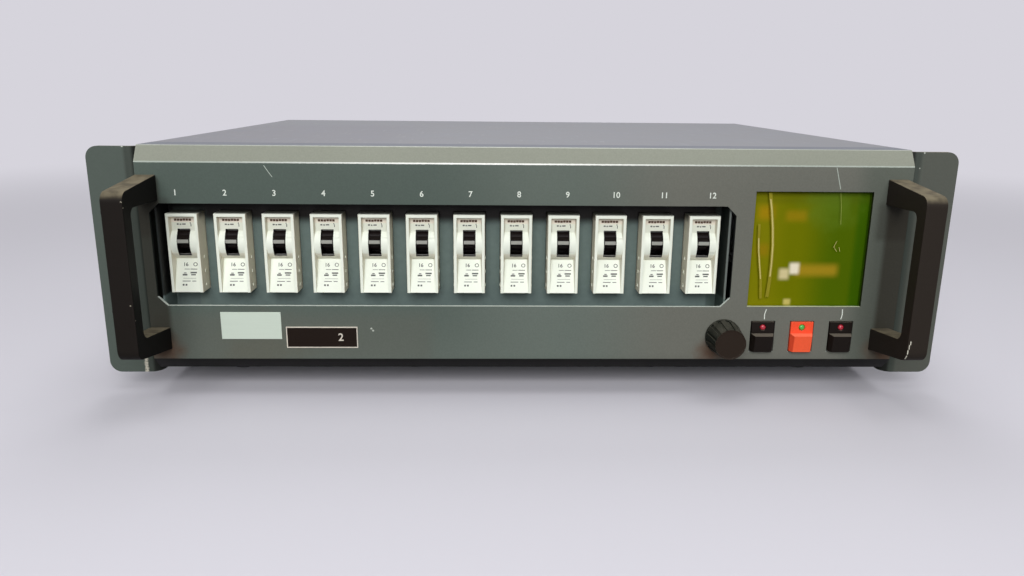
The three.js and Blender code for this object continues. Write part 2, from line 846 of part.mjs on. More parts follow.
// Multipole outlet: square flange, round shell with a well, and a body that passes inside
function outletSocket(centre) {
  const half = outletFlange / 2;
  const [x, z] = centre;
  const rim = caseDepth + outletFlangeThickness + outletLength;
  const flange = extrude(
    'y', rectangle([x - half, z - half], [x + half, z + half]), caseDepth, caseDepth + outletFlangeThickness,
  );
  const shell = turned([
    [0, rearInnerY - outletBodyDepth],
    [outletBodyRadius, rearInnerY - outletBodyDepth],
    [outletBodyRadius, caseDepth + outletFlangeThickness / 2],
    [outletRadius, caseDepth + outletFlangeThickness / 2],
    [outletRadius, rim],
    [outletInnerRadius, rim],
    [outletInnerRadius, rim - outletWell],
    [0, rim - outletWell],
  ], outletSides, centre);
  return flange.add(shell);
}

// Data socket: flange and barrel with a round well that holds either pins or a core with holes
function dataSocket(centre, hasPins) {
  const [x, z] = centre;
  const rim = caseDepth + dataFlangeThickness;
  const flange = extrude(
    'y',
    rectangle([x - dataWidth / 2, z - dataHeight / 2], [x + dataWidth / 2, z + dataHeight / 2]),
    caseDepth,
    rim,
  );
  const barrel = cylinder('y', dataRadius, dataSides, rim - dataBodyDepth, caseDepth + seatGap, centre);
  const well = cylinder('y', dataInnerRadius, dataSides, rim - dataWell, rim + cutOverrun, centre);
  const contacts = (radius, start, end) => Array.from({ length: dataPinCount }, (_, n) => {
    const at = polar(dataPinCircle, ((n + 1 / 2) / dataPinCount) * 2 * Math.PI, centre);
    return cylinder('y', radius, pivotSides, start, end, at);
  });
  const floor = rim - dataWell;
  const shell = flange.add(barrel).subtract(well);
  if (hasPins) {
    return joined([shell, ...contacts(dataPinRadius, floor - seatGap, floor + dataPinLength)]);
  }
  const core = cylinder('y', dataCoreRadius, dataSides, floor - seatGap, rim - seatGap, centre);
  return cut(shell.add(core), contacts(dataPinRadius + seatGap, rim - dataPinLength, rim + cutOverrun));
}

// Cable gland: inner nut, neck through the panel, hexagon and domed cap round an open throat
function cableGland(centre) {
  const outer = caseDepth + seatGap;
  const inner = rearInnerY - seatGap;
  const nutFront = inner - glandNutDepth;
  const cap = caseDepth + glandLength;
  return turned([
    [glandThroat, rearInnerY - glandInnerLength],
    [glandNeck, rearInnerY - glandInnerLength],
    [glandNeck, nutFront],
    [glandRadius, nutFront],
    [glandRadius, inner],
    [glandNeck, inner],
    [glandNeck, outer],
    [glandRadius, outer],
    [glandRadius, cap - glandCapLength],
    [glandNeck + seatGap, cap - glandCapLength + seatGap],
    [glandRadius, cap - glandCapLength + 2 * seatGap],
    [glandRadius, cap - glandCapLength / 2],
    [(glandRadius + glandNeck) / 2, cap - glandCapLength / 4],
    [glandNeck, cap],
    [glandThroat, cap],
    [glandThroat, rearInnerY - glandInnerLength],
  ], glandSides, centre);
}

// Fan: a square frame with a round bore, and a hub on arms that holds the rotor's shaft
function fanFrame([x, z]) {
  const half = fanWidth / 2;
  const back = fanFrontY + fanDepth;
  const corner = leverRadius / 2;
  const square = [[x - half, z - half], [x + half, z - half], [x + half, z + half], [x - half, z + half]];
  const body = extrude('y', outline(rounded(square, square.map(() => corner))), fanFrontY, back);
  const bore = cylinder('y', fanBore, 2 * leverSides, fanFrontY - cutOverrun, back + cutOverrun, [x, z]);
  const armFront = back - fanArmDepth;
  const arm = fanArmWidth / 2;
  const reach = fanBore + seatGap;
  return joined([
    body.subtract(bore),
    block([x - reach, armFront, z - arm], [x + reach, back, z + arm]),
    block([x - arm, armFront, z - reach], [x + arm, back, z + reach]),
    cylinder('y', fanHubRadius, leverSides, armFront, back, [x, z]),
  ]).subtract(cylinder(
    'y', fanShaftRadius + seatGap, leverSides / 2, armFront - cutOverrun, back - fanArmDepth / 4, [x, z],
  ));
}

// Fan rotor about its own axis: a hub with pitched blades and its shaft
function fanRotor() {
  const front = fanFrontY + 4 * seatGap;
  const back = fanFrontY + fanDepth - fanArmDepth - seatGap;
  const hub = cylinder('y', fanHubRadius, leverSides, front, back);
  const shaftEnd = fanFrontY + fanDepth - fanArmDepth / 4 - seatGap;
  const shaft = cylinder('y', fanShaftRadius, leverSides / 2, back - seatGap, shaftEnd);
  const blades = Array.from({ length: fanBladeCount }, (_, n) => {
    const size = [fanBladeRadius - fanHubRadius + fanBladeThickness * 2, fanBladeThickness, fanBladeWidth];
    const geometry = new THREE.BoxGeometry(...size);
    geometry.rotateX(radians(fanBladePitch));
    geometry.translate((fanBladeRadius + fanHubRadius) / 2 - fanBladeThickness * 2, (front + back) / 2, 0);
    geometry.rotateY((n / fanBladeCount) * 2 * Math.PI);
    return solid(geometry);
  });
  return joined([hub, shaft, ...blades]);
}

// Heat sink: a thick plate on edge-cut fins that stand on the base
function heatSink(left) {
  const top = seatGap + sinkHeight;
  const under = top - sinkBase;
  const pitch = (sinkWidth - sinkFinThickness) / (sinkFinCount - 1);
  const points = [[left + sinkWidth, top], [left, top]];
  for (let n = 0; n < sinkFinCount; n += 1) {
    const x = left + n * pitch;
    if (n) points.push([x, under]);
    points.push([x, seatGap], [x + sinkFinThickness, seatGap]);
    if (n < sinkFinCount - 1) points.push([x + sinkFinThickness, under]);
  }
  const back = fanFrontY - sinkToFan;
  return extrude('y', outline(points), back - sinkLength, back);
}

// Power modules: a strip with one block for each pair of channels
function powerModules(left) {
  const low = seatGap + sinkHeight + seatGap;
  const back = fanFrontY - sinkToFan;
  const pitch = sinkLength / moduleCount;
  const x = left + (sinkWidth - moduleWidth) / 2;
  const front = back - sinkLength;
  const points = [[back, low], [front, low], [front, low + moduleStrip]];
  for (let n = 0; n < moduleCount; n += 1) {
    const start = front + n * pitch + (pitch - moduleLength) / 2;
    const end = start + moduleLength;
    points.push([start, low + moduleStrip], [start, low + moduleHeight]);
    points.push([end, low + moduleHeight], [end, low + moduleStrip]);
  }
  points.push([back, low + moduleStrip]);
  return extrude('x', outline(points), x, x + moduleWidth);
}

// Choke bank: ring chokes standing on a common plate
function chokeBank([left, front]) {
  const top = seatGap + chokePlate;
  const width = chokesPerRow * chokePitch;
  const depth = chokeRows * chokePitch;
  const chokes = [];
  for (let row = 0; row < chokeRows; row += 1) {
    for (let n = 0; n < chokesPerRow; n += 1) {
      const centre = [left + (n + 1 / 2) * chokePitch, front + (row + 1 / 2) * chokePitch];
      const body = cylinder('z', chokeRadius, chokeSides, top - seatGap, top + chokeHeight, centre);
      const bore = cylinder('z', chokeBore, chokeSides / 2, top, top + chokeHeight + cutOverrun, centre);
      chokes.push(body.subtract(bore));
    }
  }
  return joined([block([left, front, seatGap], [left + width, front + depth, top]), ...chokes]);
}

// Terminal row: clamps side by side on the heat sink beside the modules, with grooves between them
function terminalRow(left) {
  const low = seatGap + sinkHeight + seatGap;
  const depth = (sinkWidth - moduleWidth) / 2 - 2 * terminalInset;
  const width = terminalCount * terminalWidth;
  const front = fanFrontY - sinkToFan - (sinkLength + width) / 2;
  const [start, end] = [left + terminalInset, left + terminalInset + depth];
  const body = block([start, front, low], [end, front + width, low + terminalHeight]);
  const grooves = Array.from({ length: terminalCount - 1 }, (_, n) => {
    const y = front + (n + 1) * terminalWidth;
    return block(
      [start - cutOverrun, y - terminalGroove / 2, low + terminalHeight / 2],
      [end + cutOverrun, y + terminalGroove / 2, low + terminalHeight + cutOverrun],
    );
  });
  return cut(body, grooves);
}

// Spreads a row of widths evenly between the side walls and gives their middles, left to right.
function spread(widths) {
  const free = 2 * caseInner - widths.reduce((sum, width) => sum + width, 0);
  const gap = free / (widths.length + 1);
  let x = -caseInner;
  return widths.map((width) => {
    x += gap + width;
    return x - width / 2;
  });
}

const rearMiddle = earHeight / 2;
const [glandX, outletLeftX, outletRightX, dataX, fanX] = spread(
  [2 * glandRadius, outletFlange, outletFlange, dataWidth, fanWidth],
);
const rearPlaces = {
  gland: [glandX, rearMiddle],
  outlets: [[outletLeftX, rearMiddle], [outletRightX, rearMiddle]],
  data: [[dataX, rearMiddle + dataSpacing / 2], [dataX, rearMiddle - dataSpacing / 2]],
  fan: [fanX, rearMiddle],
};

// Case
add('front_panel', frontPanel(), finishes.panelPaint);
add('left_side_plate', sidePlate(-1), finishes.panelPaint);
add('right_side_plate', sidePlate(1), finishes.panelPaint);
add('top_cover', topCover(), finishes.casePaint);
add('base_tray', baseTray(), finishes.casePaint);
add('rear_panel', rearPanel(rearPlaces), finishes.casePaint);
add('left_handle', handle(-1, 0), finishes.handlePaint);
add('right_handle', handle(1, rightHandleInset), finishes.handlePaint);
const footX = caseInner - footInset;
const footShape = foot();
for (const [name, x, y] of [
  ['front_left', -footX, baseSetback + footInset],
  ['front_right', footX, baseSetback + footInset],
  ['rear_left', -footX, caseDepth - footInset],
  ['rear_right', footX, caseDepth - footInset],
]) {
  add(`foot_${name}`, footShape, finishes.rubber, [x, y, -baseThickness]);
}

// Breakers
add('breaker_tray', breakerTray(), finishes.trayPaint);
add('breaker_rail', breakerRail(), finishes.bareSteel, [0, 0, breakerZ]);
const housing = breakerHousing();
const lever = breakerLever();
breakerXs.forEach((x, n) => {
  const number = String(n + 1).padStart(2, '0');
  add(`breaker_${number}`, housing, finishes.breakerPlastic, [x, breakerSetback, breakerZ]);
  add(`breaker_lever_${number}`, lever, finishes.leverPlastic, [
    x,
    breakerSetback + leverSetback,
    breakerZ + slotRise,
  ]);
});

// Display and controls
add('display_window', displayPane(), finishes.displayGlass);
add('display_module', displayModule(), finishes.blackPlastic);
add('control_board', controlBoard(), finishes.boardGreen);
add('encoder_body', encoderBody(), finishes.bareSteel, [knobX, 0, controlZ]);
add('encoder_knob', encoderKnob(), finishes.knobPlastic, [knobX, 0, controlZ]);
const cap = keyCap();
const keySwitchShape = keySwitch();
keySides.forEach((side, n) => {
  const colour = side === 'middle' ? finishes.redPlastic : finishes.blackPlastic;
  add(`key_cap_${side}`, cap, colour, [keyXs[n], 0, controlZ]);
  add(`key_switch_${side}`, keySwitchShape, finishes.blackPlastic, [keyXs[n], 0, controlZ]);
});

// Power and cooling
const sinkLeft = caseInner - sinkToWall - sinkWidth;
const chokeFront = fanFrontY - sinkToFan - chokeRows * chokePitch;
add('heat_sink', heatSink(sinkLeft), finishes.aluminium);
add('power_modules', powerModules(sinkLeft), finishes.blackPlastic);
add('choke_bank', chokeBank([-caseInner + sinkToWall, chokeFront]), finishes.copper);
add('terminal_row', terminalRow(sinkLeft), finishes.terminalGrey);
add('fan_frame', fanFrame(rearPlaces.fan), finishes.blackPlastic);
add('fan_rotor', fanRotor(), finishes.blackPlastic, [fanX, 0, rearMiddle]);

// Rear
add('outlet_left', outletSocket(rearPlaces.outlets[0]), finishes.aluminium);
add('outlet_right', outletSocket(rearPlaces.outlets[1]), finishes.aluminium);
add('data_in_socket', dataSocket(rearPlaces.data[0], true), finishes.bareSteel);
add('data_out_socket', dataSocket(rearPlaces.data[1], false), finishes.bareSteel);
add('supply_gland', cableGland(rearPlaces.gland), finishes.blackPlastic);

// The origin lies under the middle of the whole, on the plane of the feet
const rearReach = Math.max(outletFlangeThickness + outletLength, glandLength, dataFlangeThickness);
unit.position.set(0, (handleReach - caseDepth - rearReach) / 2, baseThickness + footHeight);

export default unit;
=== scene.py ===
import math
from contextlib import contextmanager
from types import SimpleNamespace

import bmesh
import bpy
from bpy.props import FloatProperty, FloatVectorProperty, IntProperty, PointerProperty
from mathutils import Matrix, Vector


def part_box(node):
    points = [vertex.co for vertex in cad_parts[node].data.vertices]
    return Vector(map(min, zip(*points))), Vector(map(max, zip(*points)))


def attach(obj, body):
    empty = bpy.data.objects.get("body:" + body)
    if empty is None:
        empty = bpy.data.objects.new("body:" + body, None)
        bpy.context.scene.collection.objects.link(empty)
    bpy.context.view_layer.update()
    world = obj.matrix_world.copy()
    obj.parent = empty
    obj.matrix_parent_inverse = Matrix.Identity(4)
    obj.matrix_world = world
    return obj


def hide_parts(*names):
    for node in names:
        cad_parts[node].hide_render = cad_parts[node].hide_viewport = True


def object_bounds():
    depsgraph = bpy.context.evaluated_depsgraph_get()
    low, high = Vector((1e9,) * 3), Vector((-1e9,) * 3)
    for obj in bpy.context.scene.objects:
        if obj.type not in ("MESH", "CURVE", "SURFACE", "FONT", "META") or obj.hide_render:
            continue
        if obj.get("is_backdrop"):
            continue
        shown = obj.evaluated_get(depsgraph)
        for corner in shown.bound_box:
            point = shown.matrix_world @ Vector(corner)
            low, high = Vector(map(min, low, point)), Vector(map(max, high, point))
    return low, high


bl_info = {
    "name": "Dimmer pack",
    "version": (1, 0, 0),
    "blender": (4, 5, 0),
    "location": "3D View > Sidebar > Dimmer pack",
    "description": "Builds the visual model of a rack-mounted dimmer pack around its frame",
    "category": "Object",
}

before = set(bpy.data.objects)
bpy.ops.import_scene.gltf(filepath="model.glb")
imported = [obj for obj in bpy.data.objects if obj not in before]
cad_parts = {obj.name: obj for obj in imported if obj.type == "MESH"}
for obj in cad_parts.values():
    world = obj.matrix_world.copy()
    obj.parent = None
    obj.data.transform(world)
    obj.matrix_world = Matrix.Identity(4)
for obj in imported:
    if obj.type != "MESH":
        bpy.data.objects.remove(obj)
CAD_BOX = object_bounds()

# Places below are in millimetres, counted as in the solids: x from the middle, y from the front
# face into the case and z from the lower edge of the rack ears.
MM = 0.001
FACE_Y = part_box("front_panel")[0].y
EAR_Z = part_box("left_side_plate")[0].z
SIDES = (("left", -1), ("right", 1))
BREAKERS = [f"{n:02d}" for n in range(1, 13)]
KEYS = ("left", "middle", "right")

# WIDE is past both sides of the case, and the keys' switches start at SWITCH_FRONT. Printing is
# lifted off its face, so that the two share no plane.
WIDE = 300
SWITCH_FRONT = 7.3
LETTER_LIFT = 0.02
LINE_LIFT = 0.03


def at(x, y, z):
    """The place in the scene of a point given in the object's own millimetres."""
    return Vector((x * MM, FACE_Y + y * MM, EAR_Z + z * MM))


def own(point):
    """A point of the scene in the object's own millimetres."""
    return Vector((point.x / MM, (point.y - FACE_Y) / MM, (point.z - EAR_Z) / MM))


def reach(node):
    """Lowest and highest corner of a solid in the object's own millimetres."""
    low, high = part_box(node)
    return own(low), own(high)


def middle_of(node):
    """The x, y and z of a solid's middle in the object's own millimetres."""
    return [(a + b) / 2 for a, b in zip(*reach(node))]


def near(a, b, slack=0.06):
    return abs(a - b) < slack


def tone(red, green, blue):
    """A screen colour of 0 to 255 as the linear colour that materials work in."""
    def linear(value):
        share = value / 255
        return share / 12.92 if share <= 0.04045 else ((share + 0.055) / 1.055) ** 2.4

    return (linear(red), linear(green), linear(blue))


def length(name, text, default, low=0.0):
    """A size given in millimetres, which the interface shows in the scene's own unit."""
    return FloatProperty(
        name=name, description=text, default=default * MM, min=low * MM, precision=5, unit="LENGTH",
    )


def angle(name, text, degrees):
    return FloatProperty(name=name, description=text, default=math.radians(degrees), subtype="ANGLE")


def colour(name, text, *screen):
    return FloatVectorProperty(
        name=name, description=text, default=tone(*screen), size=3, min=0, max=1, subtype="COLOR",
    )


def own_sizes(settings):
    """The values of a group, its lengths in the object's own millimetres and its colours as tuples."""
    values = {}
    for name in settings.__annotations__:
        value, kind = getattr(settings, name), settings.bl_rna.properties[name]
        if kind.unit == "LENGTH":
            value = value / MM
        elif kind.array_length:
            value = tuple(value)
        values[name] = value
    return SimpleNamespace(**values)


class CaseSettings(bpy.types.PropertyGroup):
    """Sizes and colours of the front panel, the case and the handles."""

    sheet: length("Panel sheet", "Thickness of the front panel", 2)
    top_lip_height: length("Top lip height", "Height of the leaning lip at the top", 8.65)
    top_lip_depth: length("Top lip depth", "Depth of the leaning lip at the top", 5.4)
    low_lip_height: length("Lower lip height", "Height of the leaning lip at the bottom", 7.6)
    low_lip_depth: length("Lower lip depth", "Depth of the leaning lip at the bottom", 7.6)
    fold: length("Fold", "Radius of the panel's folds", 0.45)
    chamfer: length("Recess chamfer", "Corner chamfer of the breaker recess", 5.2)
    tray_inset: length("Tray inset", "Gap between the recess and the tray's flange", 2)
    tray_overlap: length("Tray overlap", "How far the tray reaches past the recess at top and bottom", 6.5)
    display_border: length("Display border", "Width of the pane that the panel covers", 3)
    key_gap: length("Key gap", "Gap around each key", 0.5)
    knob_hole: length("Knob hole", "Radius of the hole for the knob's shaft", 3.8)
    ear_sheet: length("Ear sheet", "Thickness of the side plates", 2.5)
    ear_bend: length("Ear bend", "Radius of the bend between side plate and ear", 7)
    ear_corner: length("Ear corner", "Corner radius of the ears", 6.5)
    rack_slot_x: length("Rack slot place", "Distance of the rack slots from the middle", 232.55)
    rack_slot_pitch: length("Rack slot pitch", "Height between the rack slots of an ear", 57.15)
    rack_slot_width: length("Rack slot width", "Width of a rack slot", 8.2)
    rack_slot_height: length("Rack slot height", "Height of a rack slot", 6.8)
    vent_start: length("Vent start", "Depth at which the side vents start", 150)
    vent_width: length("Vent width", "Width of a side vent", 3.5)
    vent_height: length("Vent height", "Height of a side vent", 62)
    vent_pitch: length("Vent pitch", "Distance from one side vent to the next", 8)
    vent_count: IntProperty(name="Vents", description="Vents in each side plate", default=10, min=1, max=30)
    cover_sheet: length("Cover sheet", "Thickness of the top cover", 1.25)
    cover_gap: length("Cover gap", "Gap between the panel's flange and the cover", 0.03)
    edge: length("Edge", "Width of the softened sheet edges", 0.3)
    handle_edge: length("Handle edge", "Width of the softened handle edges", 0.5)
    handle_grip: length("Handle grip", "Depth of the upright grip", 8.5)
    handle_top_fall: length("Handle top fall", "How far the upper arm falls towards the grip", 4.6)
    handle_low_rise: length("Handle low rise", "How far the lower arm rises towards the grip", 7.3)
    handle_low_arm: length("Lower arm", "Height of the lower arm at the panel", 12.1)
    handle_high_arm: length("Upper arm", "Height of the upper arm at the panel", 14.3)
    handle_low_lean: length("Lower opening lean", "How far the opening's lower edge rises to the grip", 4.6)
    handle_top_lean: length("Upper opening lean", "How far the opening's upper edge rises to the grip", 1)
    handle_outer: length("Handle outer bend", "Outer radius of the handle's bends", 5)
    handle_inner: length("Handle inner bend", "Inner radius of the handle's bends", 4)
    panel_colour: colour("Panel", "Paint of the front panel and the ears", 103, 112, 105)
    # The top lip's colour is dust with painted top light.
    lip_colour: colour("Top lip", "Dulled paint of the leaning top lip", 139, 142, 130)
    cover_colour: colour("Cover", "Paint of the cover", 120, 123, 130)
    case_colour: colour("Case", "Paint of the base and the rear", 104, 112, 112)
    handle_colour: colour("Handles", "Paint of the handles", 26, 22, 19)
    dust_colour: colour("Dust", "Dust on surfaces that face up", 156, 144, 120)
    # Painted shade: a near-black laid on the tray under the recess's top edge.
    soot_colour: colour("Soot", "Dark film under the folds and in the recess", 14, 10, 7)
    bare_colour: colour("Bare edge", "Bare metal of cut edges and chips", 196, 202, 192)
    # Painted shadow: a warm shade for the panel below the handles' lower arms and below the knob.
    stain_colour: colour("Stain", "Warm tint around the handles and the knob", 96, 74, 60)


class BreakerSettings(bpy.types.PropertyGroup):
    """Sizes and colours of the circuit breakers."""

    nose_height: length("Nose height", "Height of the nose that stands through the tray", 45)
    nose_depth: length("Nose depth", "Depth of the nose", 20)
    rim: length("Rim", "Width of the raised rim of the nose", 1.7)
    field: length("Field depth", "Depth of the sunk upper field", 3)
    print_depth: length("Print depth", "Depth of the print field at its top", 5.2)
    print_end: length("Print end", "Depth of the print field at the lower edge", 0.5)
    print_top: length("Print top", "Upper edge of the print field from the nose's middle", -2.9, -40)
    print_step: length("Print step", "Height of the slope between the cheeks and the print field", 0.7)
    wall_lean: length("Wall lean", "How far the field's walls lean inwards in all", 0.9)
    cheek_height: length("Cheek height", "Height of the round cheeks beside the lever", 14.6)
    slot_width: length("Slot width", "Width of the lever slot", 7.1)
    slot_height: length("Slot height", "Height of the lever slot", 15.1)
    slot_depth: length("Slot depth", "Depth of the lever slot", 15.5)
    slot_rise: length("Slot rise", "Height of the slot's middle above the nose's", 5.95)
    lever_radius: length("Lever radius", "Radius of the lever's drum", 5.9)
    lever_reach: length("Lever reach", "Distance of the lever's tip from its pivot", 8.1)
    lever_setback: length("Lever setback", "Depth of the lever's pivot behind the nose's front", 7.5)
    lever_tip: length("Lever tip", "Height of the lever's pale tip", 2.1)
    lever_gap: length("Lever gap", "Gap on each side of the lever", 0.3)
    lever_angle: angle("Lever angle", "Tilt of the lever at rest", 0)
    edge: length("Edge", "Width of the softened edges", 0.28)
    housing_colour: colour("Housing", "Moulded housing", 240, 245, 231)
    # Warm painted shade for the walls and hollows of the housing.
    aged_colour: colour("Aged housing", "Yellowed sides and hollows of the housing", 216, 201, 174)
    lever_colour: colour("Lever", "Toggle lever", 20, 13, 12)
    # A painted highlight: the pale strip on the lever's tip stands for its glint.
    tip_colour: colour("Lever tip", "Pale strip on the lever's tip", 158, 158, 150)
    # The sill's pale line is a painted highlight at the slot's foot; the drum's ridge takes the same colour.
    ridge_colour: colour("Lever ridge", "Thin ridge on the drum and sill of the slot", 112, 112, 108)
    mark_colour: colour("Marks", "Printed marks", 92, 94, 90)
    name_colour: colour("Name dashes", "Dark dashes at the top of the field", 74, 50, 36)
    tray_colour: colour("Tray", "Tray behind the breakers", 100, 115, 112)


class ControlSettings(bpy.types.PropertyGroup):
    """Sizes and colours of the display, the knob, the keys and the markings."""

    knob_ribs: IntProperty(name="Knob ribs", description="Ribs round the knob", default=14, min=6, max=40)
    knob_groove: length("Knob groove", "Depth of the grooves between the ribs", 0.9)
    knob_face: length("Knob face", "Radius of the knob's face", 8.7)
    knob_skirt: length("Knob skirt", "Depth of the round skirt behind the ribs", 1.5)
    key_ridge: length("Key ridge", "Height of the key's ridge above its middle", 1.8)
    key_pad: length("Key pad", "How far the key's sloping pad stands out", 3.6)
    key_toe: length("Key toe", "How far the pad falls back towards its lower edge", 1.3)
    lamp_radius: length("Lamp radius", "Radius of the key lamps", 1.55)
    lamp_rise: length("Lamp rise", "Height of the lamp above the key's middle", 5.4)
    numeral: length("Numeral", "Size of the channel numbers", 4.5)
    numeral_height: length("Numeral height", "Height of the channel numbers' middle", 105.9)
    numeral_shift: length("Numeral shift", "How far each number stands right of its breaker", 1)
    display_colour: colour("Display", "Unlit display behind its pane", 108, 113, 2)
    knob_colour: colour("Knob", "Ribbed side of the knob", 24, 27, 22)
    knob_face_colour: colour("Knob face", "Flat face of the knob", 38, 29, 22)
    key_colour: colour("Key", "Plastic of the outer keys", 22, 16, 12)
    middle_colour: colour("Middle key", "Plastic of the middle key", 244, 84, 52)
    ink_colour: colour("Ink", "Printed numbers and lines", 226, 232, 222)
    plate_colour: colour("Plate", "Bare plate on the panel", 206, 218, 204)
    label_colour: colour("Label", "Dark field of the label", 27, 18, 12)
    border_colour: colour("Label border", "Border and number of the label", 218, 210, 196)


class StageSettings(bpy.types.PropertyGroup):
    """Floor, backdrop and lights."""

    floor_colour: colour("Floor", "Floor and backdrop", 214, 212, 220)
    floor_dark: colour("Floor shade", "Floor as the object's own light meets it", 104, 104, 106)
    top_power: FloatProperty(name="Top light", description="Light above the object", default=9, min=0, unit="POWER")
    rear_power: FloatProperty(name="Rear light", description="Light behind the object", default=11, min=0, unit="POWER")
    front_power: FloatProperty(name="Front light", description="Light in front", default=41, min=0, unit="POWER")
    world: FloatProperty(name="World", description="Strength of the even light", default=0.17, min=0, max=5)


# Shaping

def deselect():
    if bpy.context.object and bpy.context.object.mode != "OBJECT":
        bpy.ops.object.mode_set(mode="OBJECT")
    bpy.ops.object.select_all(action="DESELECT")


def choose(*pieces):
    deselect()
    for piece in pieces:
        piece.select_set(True)
    bpy.context.view_layer.objects.active = pieces[0]


def named(name):
    piece = bpy.context.object
    piece.name = name
    piece.data.name = name
    bpy.ops.object.transform_apply(location=True, rotation=True, scale=True)
    return piece


def box(name, low, high):
    deselect()
    middle = [(a + b) / 2 for a, b in zip(low, high)]
    size = [(b - a) * MM for a, b in zip(low, high)]
    bpy.ops.mesh.primitive_cube_add(size=1, location=at(*middle), scale=size)
    return named(name)


def sheet(name, axis, low, high):
    """A single face: it faces the front for y, up for z."""
    deselect()
    middle = [(a + b) / 2 for a, b in zip(low, high)]
    width = (high[0] - low[0]) * MM
    depth = (high[2] - low[2] if axis == "y" else high[1] - low[1]) * MM
    turn = (math.pi / 2, 0, 0) if axis == "y" else (0, 0, 0)
    bpy.ops.mesh.primitive_plane_add(size=1, location=at(*middle), rotation=turn)
    bpy.context.object.scale = (width, depth, 1)
    return named(name)


def rod(name, axis, radius, start, end, centre, sides=32):
    """A cylinder along an axis from start to end, about a centre given in the other two axes."""
    deselect()
    middle = (start + end) / 2
    if axis == "x":
        place, turn = (middle, *centre), (0, math.pi / 2, 0)
    else:
        place, turn = (centre[0], middle, centre[1]), (math.pi / 2, 0, 0)
    bpy.ops.mesh.primitive_cylinder_add(
        vertices=sides, radius=radius * MM, depth=abs(end - start) * MM, location=at(*place), rotation=turn,
    )
    return named(name)


@contextmanager
def editing(piece):
    choose(piece)
    bpy.ops.object.mode_set(mode="EDIT")
    yield
    bpy.ops.object.mode_set(mode="OBJECT")


def runs(direction, way):
    """Whether a direction runs along an axis, or to the side that a sign before the axis names."""
    share = getattr(direction, way[-1])
    return {"+": share, "-": -share}.get(way[0], abs(share)) > 0.9


def pick(kind, way=None, test=None, **places):
    """Selects by direction, by places of the middle along the axes and by a test of both."""
    bpy.ops.mesh.select_mode(type={"verts": "VERT", "edges": "EDGE", "faces": "FACE"}[kind])
    bpy.ops.mesh.select_all(action="DESELECT")
    mesh = bpy.context.edit_object.data
    work = bmesh.from_edit_mesh(mesh)
    for item in getattr(work, kind):
        if kind == "edges":
            start, end = (v.co for v in item.verts)
            middle, direction = own((start + end) / 2), (end - start).normalized()
        else:
            middle = own(item.co if kind == "verts" else item.calc_center_median())
            direction = item.normal
        fits = all(near(getattr(middle, axis), value) for axis, value in places.items())
        if fits and (not way or runs(direction, way)) and (not test or test(middle, direction)):
            item.select_set(True)
    bmesh.update_edit_mesh(mesh)


def extrude(x=0.0, y=0.0, z=0.0):
    bpy.ops.mesh.extrude_region_move(TRANSFORM_OT_translate={"value": (x * MM, y * MM, z * MM)})


def shift(x=0.0, y=0.0, z=0.0):
    bpy.ops.transform.translate(value=(x * MM, y * MM, z * MM))


def stretch(centre, x=1.0, y=1.0, z=1.0):
    bpy.ops.transform.resize(value=(x, y, z), center_override=at(*centre))


def round_edges(radius, segments=4):
    bpy.ops.mesh.bevel(offset=radius * MM, offset_type="OFFSET", segments=segments, affect="EDGES")


def inset(width, depth=0.0):
    bpy.ops.mesh.inset(thickness=width * MM, depth=depth * MM)


def add_modifier(piece, kind, **settings):
    made = piece.modifiers.new(kind.title(), kind)
    for name, value in settings.items():
        setattr(made, name, value)
    return made.name


def modify(piece, kind, **settings):
    choose(piece)
    bpy.ops.object.modifier_apply(modifier=add_modifier(piece, kind, **settings))


def thicken(piece, thickness):
    modify(piece, "SOLIDIFY", thickness=thickness * MM, offset=-1, use_even_offset=True)


def combine(piece, operation, tools):
    for tool in tools:
        modify(piece, "BOOLEAN", operation=operation, solver="EXACT", object=tool, material_mode="TRANSFER")
        bpy.data.objects.remove(tool, do_unlink=True)


def carve(piece, *tools):
    combine(piece, "DIFFERENCE", tools)


def fuse(piece, *tools):
    combine(piece, "UNION", tools)


def collect(piece, *others):
    choose(piece, *others)
    bpy.ops.object.join()
    return bpy.context.object


def smooth(piece, limit=32):
    choose(piece)
    bpy.ops.object.shade_smooth_by_angle(angle=math.radians(limit))


def soften(piece, width, segments=2, limit=32, material=-1):
    modify(
        piece, "BEVEL", width=width * MM, segments=segments, limit_method="ANGLE",
        angle_limit=math.radians(limit), material=material, use_clamp_overlap=True,
    )
    smooth(piece, limit)
    modify(piece, "WEIGHTED_NORMAL", keep_sharp=True)


def turned(piece, centre, radians):
    """Tilts a piece about a line along x through a place."""
    place = Matrix.Translation(at(*centre))
    piece.data.transform(place @ Matrix.Rotation(radians, 4, "X") @ place.inverted())
    return piece


def copied(piece, name, x=0.0):
    twin = piece.copy()
    twin.data = piece.data.copy()
    twin.name = twin.data.name = name
    twin.data.transform(Matrix.Translation(Vector((x * MM, 0, 0))))
    bpy.context.scene.collection.objects.link(twin)
    return twin


def settle(piece, body, slot, *nodes):
    deselect()
    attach(piece, body)
    if nodes:
        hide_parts(*nodes)


def coat(piece, *finishes):
    piece.data.materials.clear()
    for look in finishes:
        piece.data.materials.append(look)


def dress(node, look, width=0.0):
    """Gives a solid of the frame its finish and soft edges."""
    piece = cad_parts[node]
    for holder in piece.material_slots:
        holder.material = look
    if width:
        same_point, flat_turn, edge_turn = 0.01, math.radians(1), math.radians(35)
        add_modifier(piece, "WELD", merge_threshold=same_point * MM)
        add_modifier(piece, "DECIMATE", decimate_type="DISSOLVE", angle_limit=flat_turn)
        add_modifier(piece, "BEVEL", width=width * MM, segments=2, limit_method="ANGLE", angle_limit=edge_turn)


